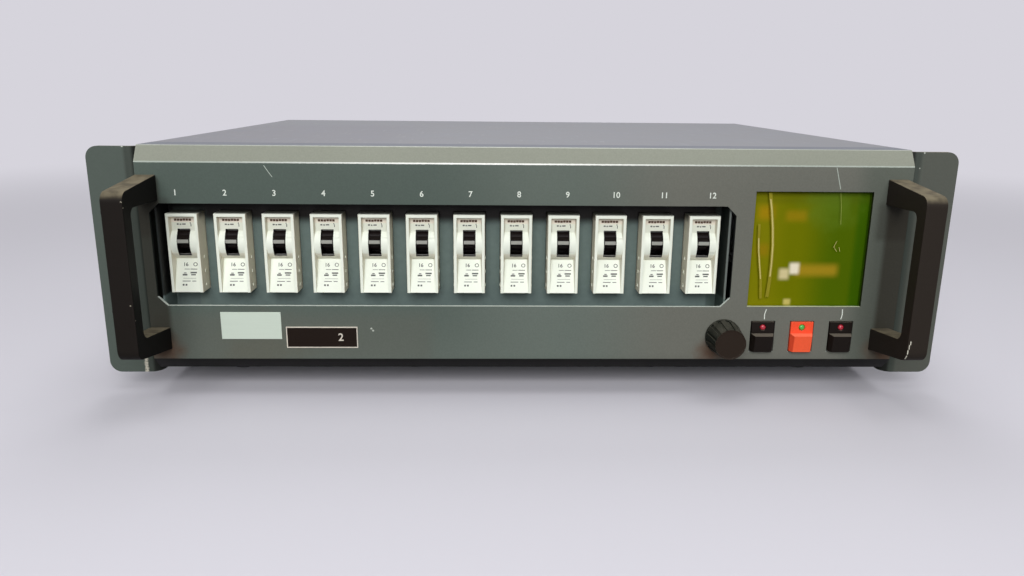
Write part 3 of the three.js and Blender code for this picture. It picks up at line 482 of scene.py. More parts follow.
def lettering(name, words, size, x, y, z, weight=0.0):
    """Flat printing that faces the front, centred on a place."""
    half_thickness = 0.015
    deselect()
    bpy.ops.object.text_add(location=at(x, y, z), rotation=(math.pi / 2, 0, 0))
    text = bpy.context.object.data
    text.body = words
    text.size = size * MM
    text.align_x = "CENTER"
    text.align_y = "CENTER"
    text.extrude = half_thickness * MM
    text.offset = weight * MM
    text.resolution_u = 4
    bpy.ops.object.convert(target="MESH")
    return named(name)


# Finishes

def add_node(tree, kind, settings=None, **inputs):
    made = tree.nodes.new(kind)
    for name, value in (settings or {}).items():
        setattr(made, name, value)
    for name, value in inputs.items():
        connect(tree, value, made.inputs[name.replace("_", " ")])
    return made


def connect(tree, value, socket):
    """Links a socket, or sets it where the value is a plain one."""
    if isinstance(value, bpy.types.NodeSocket):
        tree.links.new(value, socket)
    elif value is not None:
        socket.default_value = value


def maths(tree, operation, first, second=None, clamp=False):
    made = add_node(tree, "ShaderNodeMath", {"operation": operation, "use_clamp": clamp})
    for socket, value in zip(made.inputs, (first, second)):
        connect(tree, value, socket)
    return made.outputs[0]


def mixed(tree, share, first, second, blend="MIX"):
    made = add_node(tree, "ShaderNodeMix", {"data_type": "RGBA", "blend_type": blend})
    for index, value in ((0, share), (6, first), (7, second)):
        connect(tree, value, made.inputs[index])
    return made.outputs[2]


def ranged(tree, value, low, high, to_low=0.0, to_high=1.0):
    made = add_node(tree, "ShaderNodeMapRange", {"interpolation_type": "SMOOTHSTEP"}, Value=value)
    for name, number in (("From Min", low), ("From Max", high), ("To Min", to_low), ("To Max", to_high)):
        connect(tree, number, made.inputs[name])
    return made.outputs["Result"]


def split(tree, vector):
    made = tree.nodes.new("ShaderNodeSeparateXYZ")
    tree.links.new(vector, made.inputs[0])
    return made.outputs


def vector_maths(tree, operation, *places):
    made = add_node(tree, "ShaderNodeVectorMath", {"operation": operation})
    for socket, place in zip(made.inputs, places):
        tree.links.new(place, socket)
    return made.outputs


def noise(tree, place, scale, detail):
    return add_node(tree, "ShaderNodeTexNoise", Vector=place, Scale=scale, Detail=detail).outputs[0]


def swing(tree, value, amount):
    """Turns a value around a half into one around nought, scaled by an amount."""
    return maths(tree, "MULTIPLY", maths(tree, "SUBTRACT", value, 0.5), amount)


def grey(tree, value):
    made = tree.nodes.new("ShaderNodeCombineColor")
    for socket in made.inputs[:3]:
        tree.links.new(value, socket)
    return made.outputs[0]


def new_group(name, inputs, outputs):
    """A shader group with named float inputs, or vector ones where the default is a tuple."""
    tree = bpy.data.node_groups.new(name, "ShaderNodeTree")
    for label, default in inputs.items():
        kind = "NodeSocketVector" if isinstance(default, tuple) else "NodeSocketFloat"
        socket = tree.interface.new_socket(label, in_out="INPUT", socket_type=kind)
        socket.default_value = default
    for label in outputs:
        tree.interface.new_socket(label, in_out="OUTPUT", socket_type="NodeSocketFloat")
    return tree, tree.nodes.new("NodeGroupInput").outputs, tree.nodes.new("NodeGroupOutput").inputs


def grain_group():
    """Fine uneven paint: a shade near one and a height for bump."""
    tree, given, made = new_group(
        "Paint grain", {"Place": (0, 0, 0), "Scale": 900.0, "Depth": 0.1}, ("Shade", "Height"),
    )
    fine, broad = noise(tree, given["Place"], given["Scale"], 2.0), noise(tree, given["Place"], 14.0, 3.0)
    both = maths(tree, "ADD", maths(tree, "MULTIPLY", fine, 0.6), maths(tree, "MULTIPLY", broad, 0.4))
    tree.links.new(maths(tree, "ADD", swing(tree, both, given["Depth"]), 1.0), made["Shade"])
    tree.links.new(fine, made["Height"])
    return tree


def patch_group():
    """A mask around a place, ragged at its edge: hard for a chip, soft for a stain."""
    inputs = {
        "Place": (0, 0, 0), "Centre": (0, 0, 0), "Reach": 0.002, "Soft": 0.0003, "Ragged": 0.9, "Scale": 1200.0,
    }
    tree, given, made = new_group("Patch", inputs, ("Mask",))
    gap = vector_maths(tree, "DISTANCE", given["Place"], given["Centre"])["Value"]
    uneven = swing(tree, noise(tree, given["Place"], given["Scale"], 2.0), given["Ragged"])
    far = maths(tree, "ADD", gap, maths(tree, "MULTIPLY", uneven, given["Reach"]))
    inner = maths(tree, "SUBTRACT", given["Reach"], given["Soft"])
    tree.links.new(ranged(tree, far, inner, given["Reach"], 1.0, 0.0), made["Mask"])
    return tree


def band_group():
    """A mask of one inside a box between two corners, which fades over a soft margin outside it."""
    tree, given, made = new_group(
        "Band", {"Place": (0, 0, 0), "Low": (0, 0, 0), "High": (0, 0, 0), "Soft": 0.001}, ("Mask",),
    )
    place, low, high = (split(tree, given[name]) for name in ("Place", "Low", "High"))
    mask = None
    for axis in "XYZ":
        start = maths(tree, "SUBTRACT", low[axis], given["Soft"])
        end = maths(tree, "ADD", high[axis], given["Soft"])
        after = ranged(tree, place[axis], start, low[axis])
        before = ranged(tree, place[axis], high[axis], end, 1.0, 0.0)
        for part in (after, before):
            mask = maths(tree, "MULTIPLY", mask, part) if mask else part
    tree.links.new(mask, made["Mask"])
    return tree


def fold_group():
    """A painted highlight along x: the whole line, and its peak that fades away from a middle."""
    inputs = {"Place": (0, 0, 0), "Line": (0, 0, 0), "Reach": 0.0006, "Soft": 0.0003, "Spread": 0.1}
    tree, given, made = new_group("Worn fold", inputs, ("Line", "Peak"))
    x, y, z = split(tree, vector_maths(tree, "SUBTRACT", given["Place"], given["Line"])[0])
    square = maths(tree, "ADD", maths(tree, "MULTIPLY", y, y), maths(tree, "MULTIPLY", z, z))
    uneven = swing(tree, noise(tree, given["Place"], 700.0, 2.0), given["Soft"])
    far = maths(tree, "ADD", maths(tree, "SQRT", square), uneven)
    line = ranged(tree, far, maths(tree, "SUBTRACT", given["Reach"], given["Soft"]), given["Reach"], 1.0, 0.0)
    peak = ranged(tree, maths(tree, "ABSOLUTE", x), 0.0, given["Spread"], 1.0, 0.0)
    tree.links.new(line, made["Line"])
    tree.links.new(maths(tree, "MULTIPLY", line, peak), made["Peak"])
    return tree


def dust_group():
    """Dust that lies on what faces up, in uneven patches."""
    inputs = {"Place": (0, 0, 0), "Facing": (0, 0, 1), "Amount": 0.5, "Scale": 60.0}
    tree, given, made = new_group("Dust", inputs, ("Mask",))
    up = ranged(tree, split(tree, given["Facing"])["Z"], 0.25, 0.9)
    patchy = ranged(tree, noise(tree, given["Place"], given["Scale"], 4.0), 0.3, 0.65, 0.45, 1.0)
    mask = maths(tree, "MULTIPLY", maths(tree, "MULTIPLY", up, patchy), given["Amount"], clamp=True)
    tree.links.new(mask, made["Mask"])
    return tree


def scuff_group():
    """Thin scratches along one direction, given as a stretched place."""
    tree, given, made = new_group("Scuffs", {"Place": (0, 0, 0), "Scale": 300.0, "Amount": 0.5}, ("Mask",))
    thin = ranged(tree, noise(tree, given["Place"], given["Scale"], 3.0), 0.62, 0.7)
    tree.links.new(maths(tree, "MULTIPLY", thin, given["Amount"]), made["Mask"])
    return tree


GROUPS = {}
EFFECTS = {
    "grain": grain_group, "patch": patch_group, "band": band_group, "fold": fold_group, "dust": dust_group,
    "scuffs": scuff_group,
}


def effect(tree, name, **inputs):
    """Places one of the shared effects in a material."""
    if name not in GROUPS:
        GROUPS[name] = EFFECTS[name]()
    made = tree.nodes.new("ShaderNodeGroup")
    made.node_tree = GROUPS[name]
    for label, value in inputs.items():
        connect(tree, value, made.inputs[label])
    return made.outputs


class Surface:
    """A material in the making: layers of colour are laid over each other from the ground up."""

    def __init__(self, name, base, rough, metal=0.0, gloss=0.5):
        self.material = bpy.data.materials.new(name)
        self.material.use_nodes = True
        self.tree = self.material.node_tree
        self.shader = self.tree.nodes["Principled BSDF"]
        self.rough = rough
        for socket, value in (("Roughness", rough), ("Metallic", metal), ("Specular IOR Level", gloss)):
            self.shader.inputs[socket].default_value = value
        coords = self.tree.nodes.new("ShaderNodeTexCoord")
        self.place = coords.outputs["Object"]
        self.facing = coords.outputs["Normal"]
        self.look = (*base, 1)

    def lay(self, mask, shade, strength=1.0):
        share = maths(self.tree, "MULTIPLY", mask, strength)
        self.look = mixed(self.tree, share, self.look, (*shade, 1))
        return self

    def drawn_out(self, along):
        return add_node(self.tree, "ShaderNodeMapping", Vector=self.place, Scale=along).outputs[0]

    def grain(self, depth=0.12, scale=900.0, bump=0.2, along=None):
        """Uneven paint or moulding, drawn out along an axis where it is brushed."""
        place = self.drawn_out(along) if along else self.place
        worked = effect(self.tree, "grain", Place=place, Scale=scale, Depth=depth)
        self.look = mixed(self.tree, 1.0, self.look, grey(self.tree, worked["Shade"]), "MULTIPLY")
        if bump:
            raised = add_node(self.tree, "ShaderNodeBump", Strength=bump, Distance=0.0001, Height=worked["Height"])
            self.tree.links.new(raised.outputs[0], self.shader.inputs["Normal"])
        return self

    def turned_to(self, way, start, full, shade, strength=1.0):
        """Colours what faces along an axis, or against it with a minus, from a first share to the full one."""
        share = split(self.tree, self.facing)[way[-1]]
        if way[0] == "-":
            share = maths(self.tree, "MULTIPLY", share, -1.0)
        return self.lay(ranged(self.tree, share, start, full), shade, strength)

    def band(self, low, high, soft, shade, strength=1.0):
        """Colours a box between two corners, with a soft margin outside it."""
        made = effect(self.tree, "band", Place=self.place, Low=at(*low), High=at(*high), Soft=soft * MM)
        return self.lay(made["Mask"], shade, strength)

    def bands(self, *rows):
        """Lays bands in turn, their shades given as screen colours."""
        for low, high, soft, shade, strength in rows:
            self.band(low, high, soft, tone(*shade), strength)
        return self

    def fold(self, line, width, spread, shade, bright):
        """A painted highlight along x through a place, brighter within the spread about it."""
        made = effect(
            self.tree, "fold", Place=self.place, Line=at(*line), Reach=width / 2 * MM, Soft=width / 4 * MM,
            Spread=spread * MM,
        )
        return self.lay(made["Line"], shade, 0.85).lay(made["Peak"], bright)

    def stain(self, centre, size, shade, strength):
        """A soft tint that fades from its centre."""
        return self.patch(centre, size, size * 0.9, shade, strength, 120.0, 0.9)

    def chips(self, centres, size, shade):
        """Small ragged spots where the paint has come off."""
        for centre in centres:
            self.patch(centre, size, size * 0.3, shade, 0.9, 2600.0, 2.6)
        return self

    def patch(self, centre, size, soft, shade, strength, scale, ragged):
        made = effect(
            self.tree, "patch", Place=self.place, Centre=at(*centre), Reach=size * MM, Soft=soft * MM, Scale=scale,
            Ragged=ragged,
        )
        return self.lay(made["Mask"], shade, strength)

    def scuffs(self, amount, shade, along):
        return self.lay(effect(self.tree, "scuffs", Place=self.drawn_out(along), Amount=amount)["Mask"], shade)

    def dust(self, amount, shade, scale=60.0):
        """Dust on what faces up, which also dulls the surface."""
        settled = effect(self.tree, "dust", Place=self.place, Facing=self.facing, Amount=amount, Scale=scale)["Mask"]
        self.tree.links.new(ranged(self.tree, settled, 0.0, 1.0, self.rough, 0.85), self.shader.inputs["Roughness"])
        return self.lay(settled, shade)

    def done(self):
        connect(self.tree, self.look, self.shader.inputs["Base Color"])
        return self.material


def panel_paint(case):
    paint = Surface("panel_paint", case.panel_colour, 0.5, gloss=0.12)
    top_edge, highlight_x = reach("front_panel")[1].z, -20
    # Painted light and shade: the panel darkens towards the top and the left and lightens towards the right, with
    # painted shade beside the right handle; a band low on the left is slightly warmer.
    paint.bands(
        ((-240, -2, 84), (240, 3, 122), 44, (90, 99, 92), 0.6),
        ((-240, -2, 60), (-60, 3, 122), 70, (76, 88, 82), 0.75),
        ((90, -2, 10), (176, 3, 122), 70, (109, 108, 100), 0.8),
        ((192, -2, 10), (230, 3, 122), 16, (91, 96, 88), 0.9),
        ((-205, -2, 16), (-60, 3, 32), 12, (97, 99, 91), 0.5),
    )
    # Painted shadows: warm shade on the panel below the handles' lower arms and below the knob.
    for x, z, size in ((-204, 17, 14), (208, 16, 17), (106, 15, 13)):
        paint.stain((x, 0, z), size, case.stain_colour, 0.9)
    paint.stain((-150, 0, 9), 40, tone(98, 96, 84), 0.5)
    # Painted shadow of the handles on the panel's ends and under their upper arms.
    for x in (-209, 209):
        paint.bands(
            ((x - 7, -2, 24), (x + 7, 3, 112), 4, (50, 44, 36), 0.75),
            ((x - 12, -2, 84), (x + 12, 3, 100), 5, (44, 38, 31), 0.4),
        )
    # Faces that look up take the lip's colour, dust with painted top light, and the flat top takes the cover's colour;
    # faces that look down carry painted shade.
    paint.turned_to("Z", 0.3, 0.5, case.lip_colour).turned_to("Z", 0.75, 0.97, case.cover_colour)
    paint.turned_to("-Z", 0.2, 0.6, tone(9, 8, 6))
    # Painted highlights along the lip's two folds, brightest a little left of the middle.
    paint.fold((highlight_x, 0, top_edge - case.top_lip_height), 1.1, 170, tone(176, 185, 175), tone(255, 255, 250))
    paint.fold((highlight_x, case.top_lip_depth, top_edge), 1.0, 200, tone(176, 180, 170), tone(196, 200, 190))
    paint.grain(0.36, 1100.0, 0.3).chips(((-88.1, 0, 29.4), (-87.2, 0, 28.2)), 0.6, case.bare_colour)
    return paint.done()


def ear_paint(case):
    paint = Surface("ear_paint", case.panel_colour, 0.5, gloss=0.15)
    # The ears' faces take darker tints, the left one the darker; the bands at the bends are painted shade behind the
    # panel's ends, darkest next to them.
    paint.bands(
        ((-245, 5, 0), (-222, 12, 135), 4, (76, 85, 79), 0.8),
        ((-219.5, -5, -5), (219.5, 17, 140), 2.5, (60, 66, 60), 0.9),
        ((-215.5, -5, -5), (215.5, 20, 140), 2, (24, 25, 22), 0.9),
        ((222, 5, 0), (245, 12, 135), 4, (84, 86, 79), 0.9),
    )
    corners = ((-221, 9.2, 129.6), (-214, 12, 128), (221, 9.2, 129.4), (219.5, 9.5, 121))
    paint.grain(0.24, 1100.0, 0.25).chips(corners, 0.5, case.bare_colour)
    paint.chips([(-220.5, 9.3, z) for z in (0.6, 2.2, 3.9, 5.6, 7.6)], 1.2, tone(205, 200, 184))
    return paint.dust(0.5, case.dust_colour).done()


def cover_paint(case):
    paint = Surface("cover_paint", case.cover_colour, 0.42, gloss=0.35)
    brushed = (1.0, 0.12, 1.0)
    paint.band((-240, 20, 120), (-110, 200, 135), 60, tone(114, 115, 124), 0.7)
    paint.grain(0.1, 700.0, 0.12, brushed).scuffs(0.12, tone(176, 178, 180), brushed)
    paint.chips(((46, 55, 131.2), (47.5, 55.6, 131.2), (-39, 41, 131.2)), 0.9, tone(206, 208, 206))
    return paint.dust(0.12, case.dust_colour).done()


def handle_paint(case):
    paint = Surface("handle_paint", case.handle_colour, 0.55, gloss=0.08)
    # Painted shade on the handles' sides and undersides; the right handle's front is painted lighter, as painted light.
    paint.turned_to("X", 0.6, 0.95, tone(10, 9, 8), 0.8).turned_to("-X", 0.6, 0.95, tone(10, 8, 7), 0.8)
    paint.turned_to("-Z", 0.3, 0.8, tone(16, 13, 12), 0.8).grain(0.4, 1500.0, 0.4)
    paint.band((190, -50, 0), (220, 0, 130), 2, tone(46, 40, 35), 0.8)
    paint.dust(0.8, tone(132, 123, 102), 160.0)
    worn = tone(176, 170, 152)
    paint.chips(((-201.3, -41.4, 106.6), (-200.8, -41, 103.6)), 0.42, worn)
    paint.chips(((-202.2, -41.7, 54), (-200.8, -41, 46)), 0.35, worn)
    for x, low, high in ((199.5, 33.8, 35.6), (199.0, 31.4, 33.6), (198.6, 28.6, 30.8), (198.5, 25.4, 27.6)):
        paint.band((x - 0.12, -43, low), (x + 0.12, -40, high), 0.22, tone(226, 222, 206), 0.9)
    return paint.done()


def nose_bands(paint, *rows):
    """Lays bands across all breakers, placed from the middle of the nose's front by depth and height."""
    front, middle = reach("breaker_01")[0].y, middle_of("breaker_01")[2]
    for (start, low), (end, high), soft, shade, strength in rows:
        paint.band((-WIDE, front + start, middle + low), (WIDE, front + end, middle + high), soft, shade, strength)
    return paint


def housing_plastic(breaker):
    """The outside of the housing: warm painted shade on its sides, and painted shade at the rear of its top."""
    paint = Surface("housing_plastic", breaker.housing_colour, 0.42, gloss=0.4)
    paint.turned_to("X", 0.5, 0.95, tone(248, 238, 214), 0.8).turned_to("-X", 0.5, 0.95, tone(244, 234, 212), 0.7)
    return nose_bands(paint, ((5, 22), (30, 30), 4.5, tone(58, 55, 45), 0.85)).grain(0.05, 1600.0, 0.1).done()


def hollow_plastic(breaker):
    """The inside of the rim: painted shade under its top edge, and warm painted shade on its walls and under the
    cheeks.
    """
    warm_shade = breaker.aged_colour
    paint = nose_bands(
        Surface("hollow_plastic", breaker.housing_colour, 0.42, gloss=0.4),
        ((1.8, 13), (4, 21), 1.2, tone(214, 216, 200), 0.7), ((2.2, 17.6), (4, 20.2), 0.8, tone(228, 206, 188), 0.45),
        ((1.6, -3), (6, -0.6), 1.4, warm_shade, 0.4),
    )
    paint.turned_to("X", 0.6, 0.97, warm_shade, 0.5).turned_to("-X", 0.6, 0.97, tone(216, 204, 182), 0.5)
    return paint.grain(0.05, 1600.0, 0.1).done()


def tray_paint(breaker, case):
    low, high = reach("breaker_tray")
    top = high.z - case.tray_overlap
    paint = Surface("tray_paint", breaker.tray_colour, 0.5, gloss=0.2)
    # Painted shade under the recess's top edge.
    paint.band((-WIDE, 2, top - 9), (WIDE, 30, top + 20), 6, case.soot_colour)
    # The tray's left part is lighter; painted shade darkens its right end and its left end.
    paint.bands(
        ((low.x, 3, 0), (low.x + 14, 30, top - 12), 10, (118, 132, 126), 0.8),
        ((high.x - 2.5, 3, 0), (high.x + 5, 30, 200), 3.5, (60, 70, 66), 0.7),
        ((low.x - 5, -5, 0), (low.x + 3, 30, 200), 1.5, (10, 12, 10), 0.95),
    )
    # Painted shade on the walls that face the sides.
    paint.turned_to("-X", 0.6, 0.9, tone(27, 33, 31), 0.95).turned_to("X", 0.6, 0.9, tone(12, 12, 12), 0.95)
    # A thin pale line along the right flange's front edge, and a lighter tone low on both ends, below the painted
    # shade.
    paint.bands(
        ((high.x - 3, low.y - 1, 0), (high.x + 2, low.y + 0.25, 200), 0.2, (104, 110, 106), 0.9),
        ((low.x - 5, -1, 34), (low.x + 14, 30, 47), 1.5, (104, 118, 116), 0.9),
        ((high.x - 6, 2, 34), (high.x + 5, 30, 46), 1.5, (74, 88, 84), 0.8),
    )
    return paint.grain(0.5, 260.0, 0.2).done()


def display_pane(control):
    """Yellow-green that turns greener to the right, with painted reflections as warm soft bands and bright patches, and
    painted shade along the top and right edges.
    """
    low, high = reach("display_window")
    left, right, bottom, top = low.x, high.x, low.z, high.z
    paint = Surface("display_pane", control.display_colour, 0.5, gloss=0.03)

    def lay(*rows):
        for (x_low, x_high), (z_low, z_high), soft, shade, strength in rows:
            paint.band((x_low, 0, z_low), (x_high, 9, z_high), soft, tone(*shade), strength)

    # Painted shade at the right and top edges; the warm bands are painted reflections.
    lay(
        ((left, left + 11), (bottom, top), 16, (124, 122, 8), 0.9),
        ((right - 20, right), (bottom, top), 22, (76, 98, 2), 1.0),
        ((right - 7, right), (bottom, top), 4, (48, 88, 2), 0.7),
        ((left, right), (top - 8, top), 4, (70, 76, 14), 0.25),
        ((132, 134.5), (95.5, 97), 6, (164, 130, 14), 0.8),
        ((147, 154), (94, 95), 5.0, (152, 126, 16), 0.7),
        ((155, 174), (62.8, 63.8), 5.5, (166, 136, 30), 0.85),
        ((132, 134), (74, 76), 5.0, (150, 118, 14), 0.6),
    )
    paint.stain((170, 4, 103), 24, tone(98, 124, 34), 0.5)
    # Bright patches of painted reflection, and a pale strip at the left edge.
    lay(
        ((150.8, 153.2), (62.6, 66.0), 3.0, (236, 226, 200), 1.0),
        ((145.2, 147.4), (59.6, 62.6), 3.2, (214, 200, 150), 0.95),
        ((148.5, 150.5), (44, 45.4), 2.0, (206, 190, 110), 0.8),
        ((left, left + 3.4), (bottom, top), 0.2, (150, 152, 60), 0.8),
    )
    return paint.grain(0.12, 900.0, 0).done()


def knob_plastic(control):
    low, high = reach("encoder_knob")
    paint = Surface("knob_plastic", control.knob_colour, 0.55, gloss=0.12)
    paint.band((low.x - 2, low.y - 1, low.z - 2), (high.x + 2, low.y + 0.4, high.z + 2), 0.3, control.knob_face_colour)
    return paint.grain(0.3, 900.0, 0.3).dust(0.3, tone(112, 108, 96), 200.0).done()


def key_plastic(name, shade, ridge, pad=None):
    paint = Surface(name, shade, 0.45, gloss=0.12)
    if pad:
        paint.turned_to("-Z", 0.02, 0.2, pad)
    # Faces that look up take the lighter ridge colour as a painted highlight.
    return paint.turned_to("Z", 0.5, 0.9, ridge, 0.8).grain(0.25, 900.0, 0.2).done()


def plain(name, shade, rough, metal=0.0, gloss=0.3, depth=0.2, scale=900.0, bump=0.2, along=None):
    return Surface(name, shade, rough, metal, gloss).grain(depth, scale, bump, along).done()


def cut_edge():
    """Bare metal painted as lit where a cut wall faces up, and dark elsewhere as painted shade."""
    paint = Surface("cut_edge", tone(38, 43, 40), 0.45, gloss=0.3)
    return paint.turned_to("Z", 0.3, 0.65, tone(208, 216, 208)).grain(0.3, 500.0, 0.1).done()


def display_cut():
    """The cut round the display, lit and shaded as painted light: bright below and on the left, dark on the right and
    at the top.
    """
    paint = Surface("display_cut", tone(30, 34, 14), 0.4, gloss=0.2)
    paint.turned_to("Z", 0.3, 0.65, tone(214, 220, 192)).turned_to("X", 0.3, 0.65, tone(190, 196, 168))
    return paint.grain(0.2, 500.0, 0.1).done()


def make_finishes(scene):
    case, breaker, control = (
        own_sizes(group) for group in (scene.dimmer_case, scene.dimmer_breakers, scene.dimmer_controls)
    )
    return {
        "panel": panel_paint(case),
        "ear": ear_paint(case),
        "cut": cut_edge(),
        "display cut": display_cut(),
        "cover": cover_paint(case),
        "case": Surface("case_paint", case.case_colour, 0.5, gloss=0.3).grain(0.2).dust(0.3, case.dust_colour).done(),
        "handle": handle_paint(case),
        "tray": tray_paint(breaker, case),
        "housing": housing_plastic(breaker),
        "hollow": hollow_plastic(breaker),
        # The lever's pale tip strip is a painted highlight.
        "lever": plain("lever_plastic", breaker.lever_colour, 0.4, gloss=0.2),
        "tip": plain("lever_tip", breaker.tip_colour, 0.4, depth=0.3),
        "ridge": plain("lever_ridge", breaker.ridge_colour, 0.5, depth=0.5),
        "mark": plain("printed_mark", breaker.mark_colour, 0.6, depth=0.5, scale=1500.0, bump=0),
        "name": plain("name_dashes", breaker.name_colour, 0.6, depth=0.5, scale=1500.0, bump=0),
        "ink": plain("printed_ink", control.ink_colour, 0.6, depth=0.1, bump=0),
        "scratch": plain("scratch", tone(176, 186, 176), 0.6, depth=0.7, scale=1500.0, bump=0),
        "faint scratch": plain("faint_scratch", tone(138, 148, 70), 0.6, gloss=0.03, depth=0.6, scale=1500.0, bump=0),
        # The streak colours are painted reflections on the pane, with a darker amber edge; the streak colour also marks
        # two small nicks.
        "streak": plain("streak", tone(196, 182, 112), 0.6, gloss=0.03, depth=0.5, scale=160.0, bump=0),
        "streak edge": plain("streak_edge", tone(142, 134, 38), 0.6, gloss=0.03, depth=0.5, scale=160.0, bump=0),
        "knob": knob_plastic(control),
        # Edge wear with painted highlights, on the knob's bevels.
        "worn knob": plain("worn_knob_edge", tone(118, 120, 106), 0.5, depth=1.6, scale=420.0),
        "key": key_plastic("key_plastic", control.key_colour, tone(112, 105, 94)),
        "middle key": key_plastic("middle_key_plastic", control.middle_colour, tone(255, 128, 96), tone(255, 104, 66)),
        "plate": plain("bare_plate", control.plate_colour, 0.42, metal=0.15, depth=0.12, along=(0.05, 1.0, 1.0)),
        "label": plain("label_field", control.label_colour, 0.5, gloss=0.1),
        "border": plain("label_border", control.border_colour, 0.5, depth=0.1),
        "display": display_pane(control),
        "red lamp": plain("red_lamp", tone(176, 34, 52), 0.2, gloss=0.7, depth=0.1, bump=0),
        "green lamp": plain("green_lamp", tone(70, 176, 72), 0.2, gloss=0.7, depth=0.1, bump=0),
        "black": plain("black_plastic", tone(26, 24, 25), 0.5, gloss=0.15),
        "rubber": Surface("foot_rubber", tone(24, 24, 26), 0.85).grain(0.3).dust(0.3, case.dust_colour).done(),
        "steel": plain("plated_steel", tone(172, 174, 172), 0.32, metal=0.9, gloss=0.5),
        "alloy": plain("bare_alloy", tone(184, 187, 190), 0.38, metal=0.85, gloss=0.5),
        "copper": plain("wound_copper", tone(150, 92, 52), 0.4, metal=0.6, gloss=0.5, depth=0.5, scale=300.0),
        "board": plain("board_green", tone(32, 92, 54), 0.5, depth=0.4, scale=300.0),
        "terminal": plain("terminal_plastic", tone(140, 146, 144), 0.5),
    }


FINISH = {}


def finish(name):
    if not FINISH:
        FINISH.update(make_finishes(bpy.context.scene))
    return FINISH[name]


# Pieces

class BuildPanel(bpy.types.Operator):
    """Folds the front panel and cuts its openings"""

    bl_idname = "dimmer.build_panel"
    bl_label = "Front panel"

    def execute(self, context):
        case = own_sizes(context.scene.dimmer_case)
        low, high = reach("front_panel")
        top, bottom = high.z - case.top_lip_height, low.z + case.low_lip_height
        panel = sheet("panel_shell", "y", (low.x, 0, bottom), (high.x, 0, top))
        lips = ((top, case.top_lip_depth, case.top_lip_height), (bottom, case.low_lip_depth, -case.low_lip_height))
        folds = ((0, top), (case.top_lip_depth, high.z), (0, bottom), (case.low_lip_depth, low.z))
        with editing(panel):
            for edge_z, depth, rise in lips:
                pick("edges", "x", z=edge_z)
                extrude(y=depth, z=rise)
                extrude(y=high.y - depth)
            pick("edges", "x", lambda place, way: any(near(place.y, y) and near(place.z, z) for y, z in folds))
            round_edges(case.fold, 3)
        thicken(panel, case.sheet)
        coat(panel, finish("panel"), finish("cut"), finish("display cut"))
        for look, cutter in self.cutters(case):
            coat(cutter, finish(look))
            carve(panel, cutter)
        smooth(panel)
        settle(panel, "case", "panel_paint", "front_panel")
        return {"FINISHED"}

    def cutters(self, case):
        """A tool for each opening with the finish that it leaves on the cut walls."""
        front, back = -case.sheet, 2 * case.sheet
        low, high = reach("breaker_tray")
        recess = box(
            "recess_cutter", (low.x - case.tray_inset, front, low.z + case.tray_overlap),
            (high.x + case.tray_inset, back, high.z - case.tray_overlap),
        )
        with editing(recess):
            pick("edges", "y")
            round_edges(case.chamfer, 1)
        yield "cut", recess
        low, high = reach("display_window")
        border = case.display_border
        yield "display cut", box(
            "display_cutter", (low.x + border, front, low.z + border), (high.x - border, back, high.z - border),
        )
        for side in KEYS:
            low, high = reach(f"key_cap_{side}")
            gap = case.key_gap
            yield "cut", box("key_cutter", (low.x - gap, front, low.z - gap), (high.x + gap, back, high.z + gap))
        x, _, z = middle_of("encoder_knob")
        yield "cut", rod("knob_cutter", "y", case.knob_hole, front, back, (x, z))


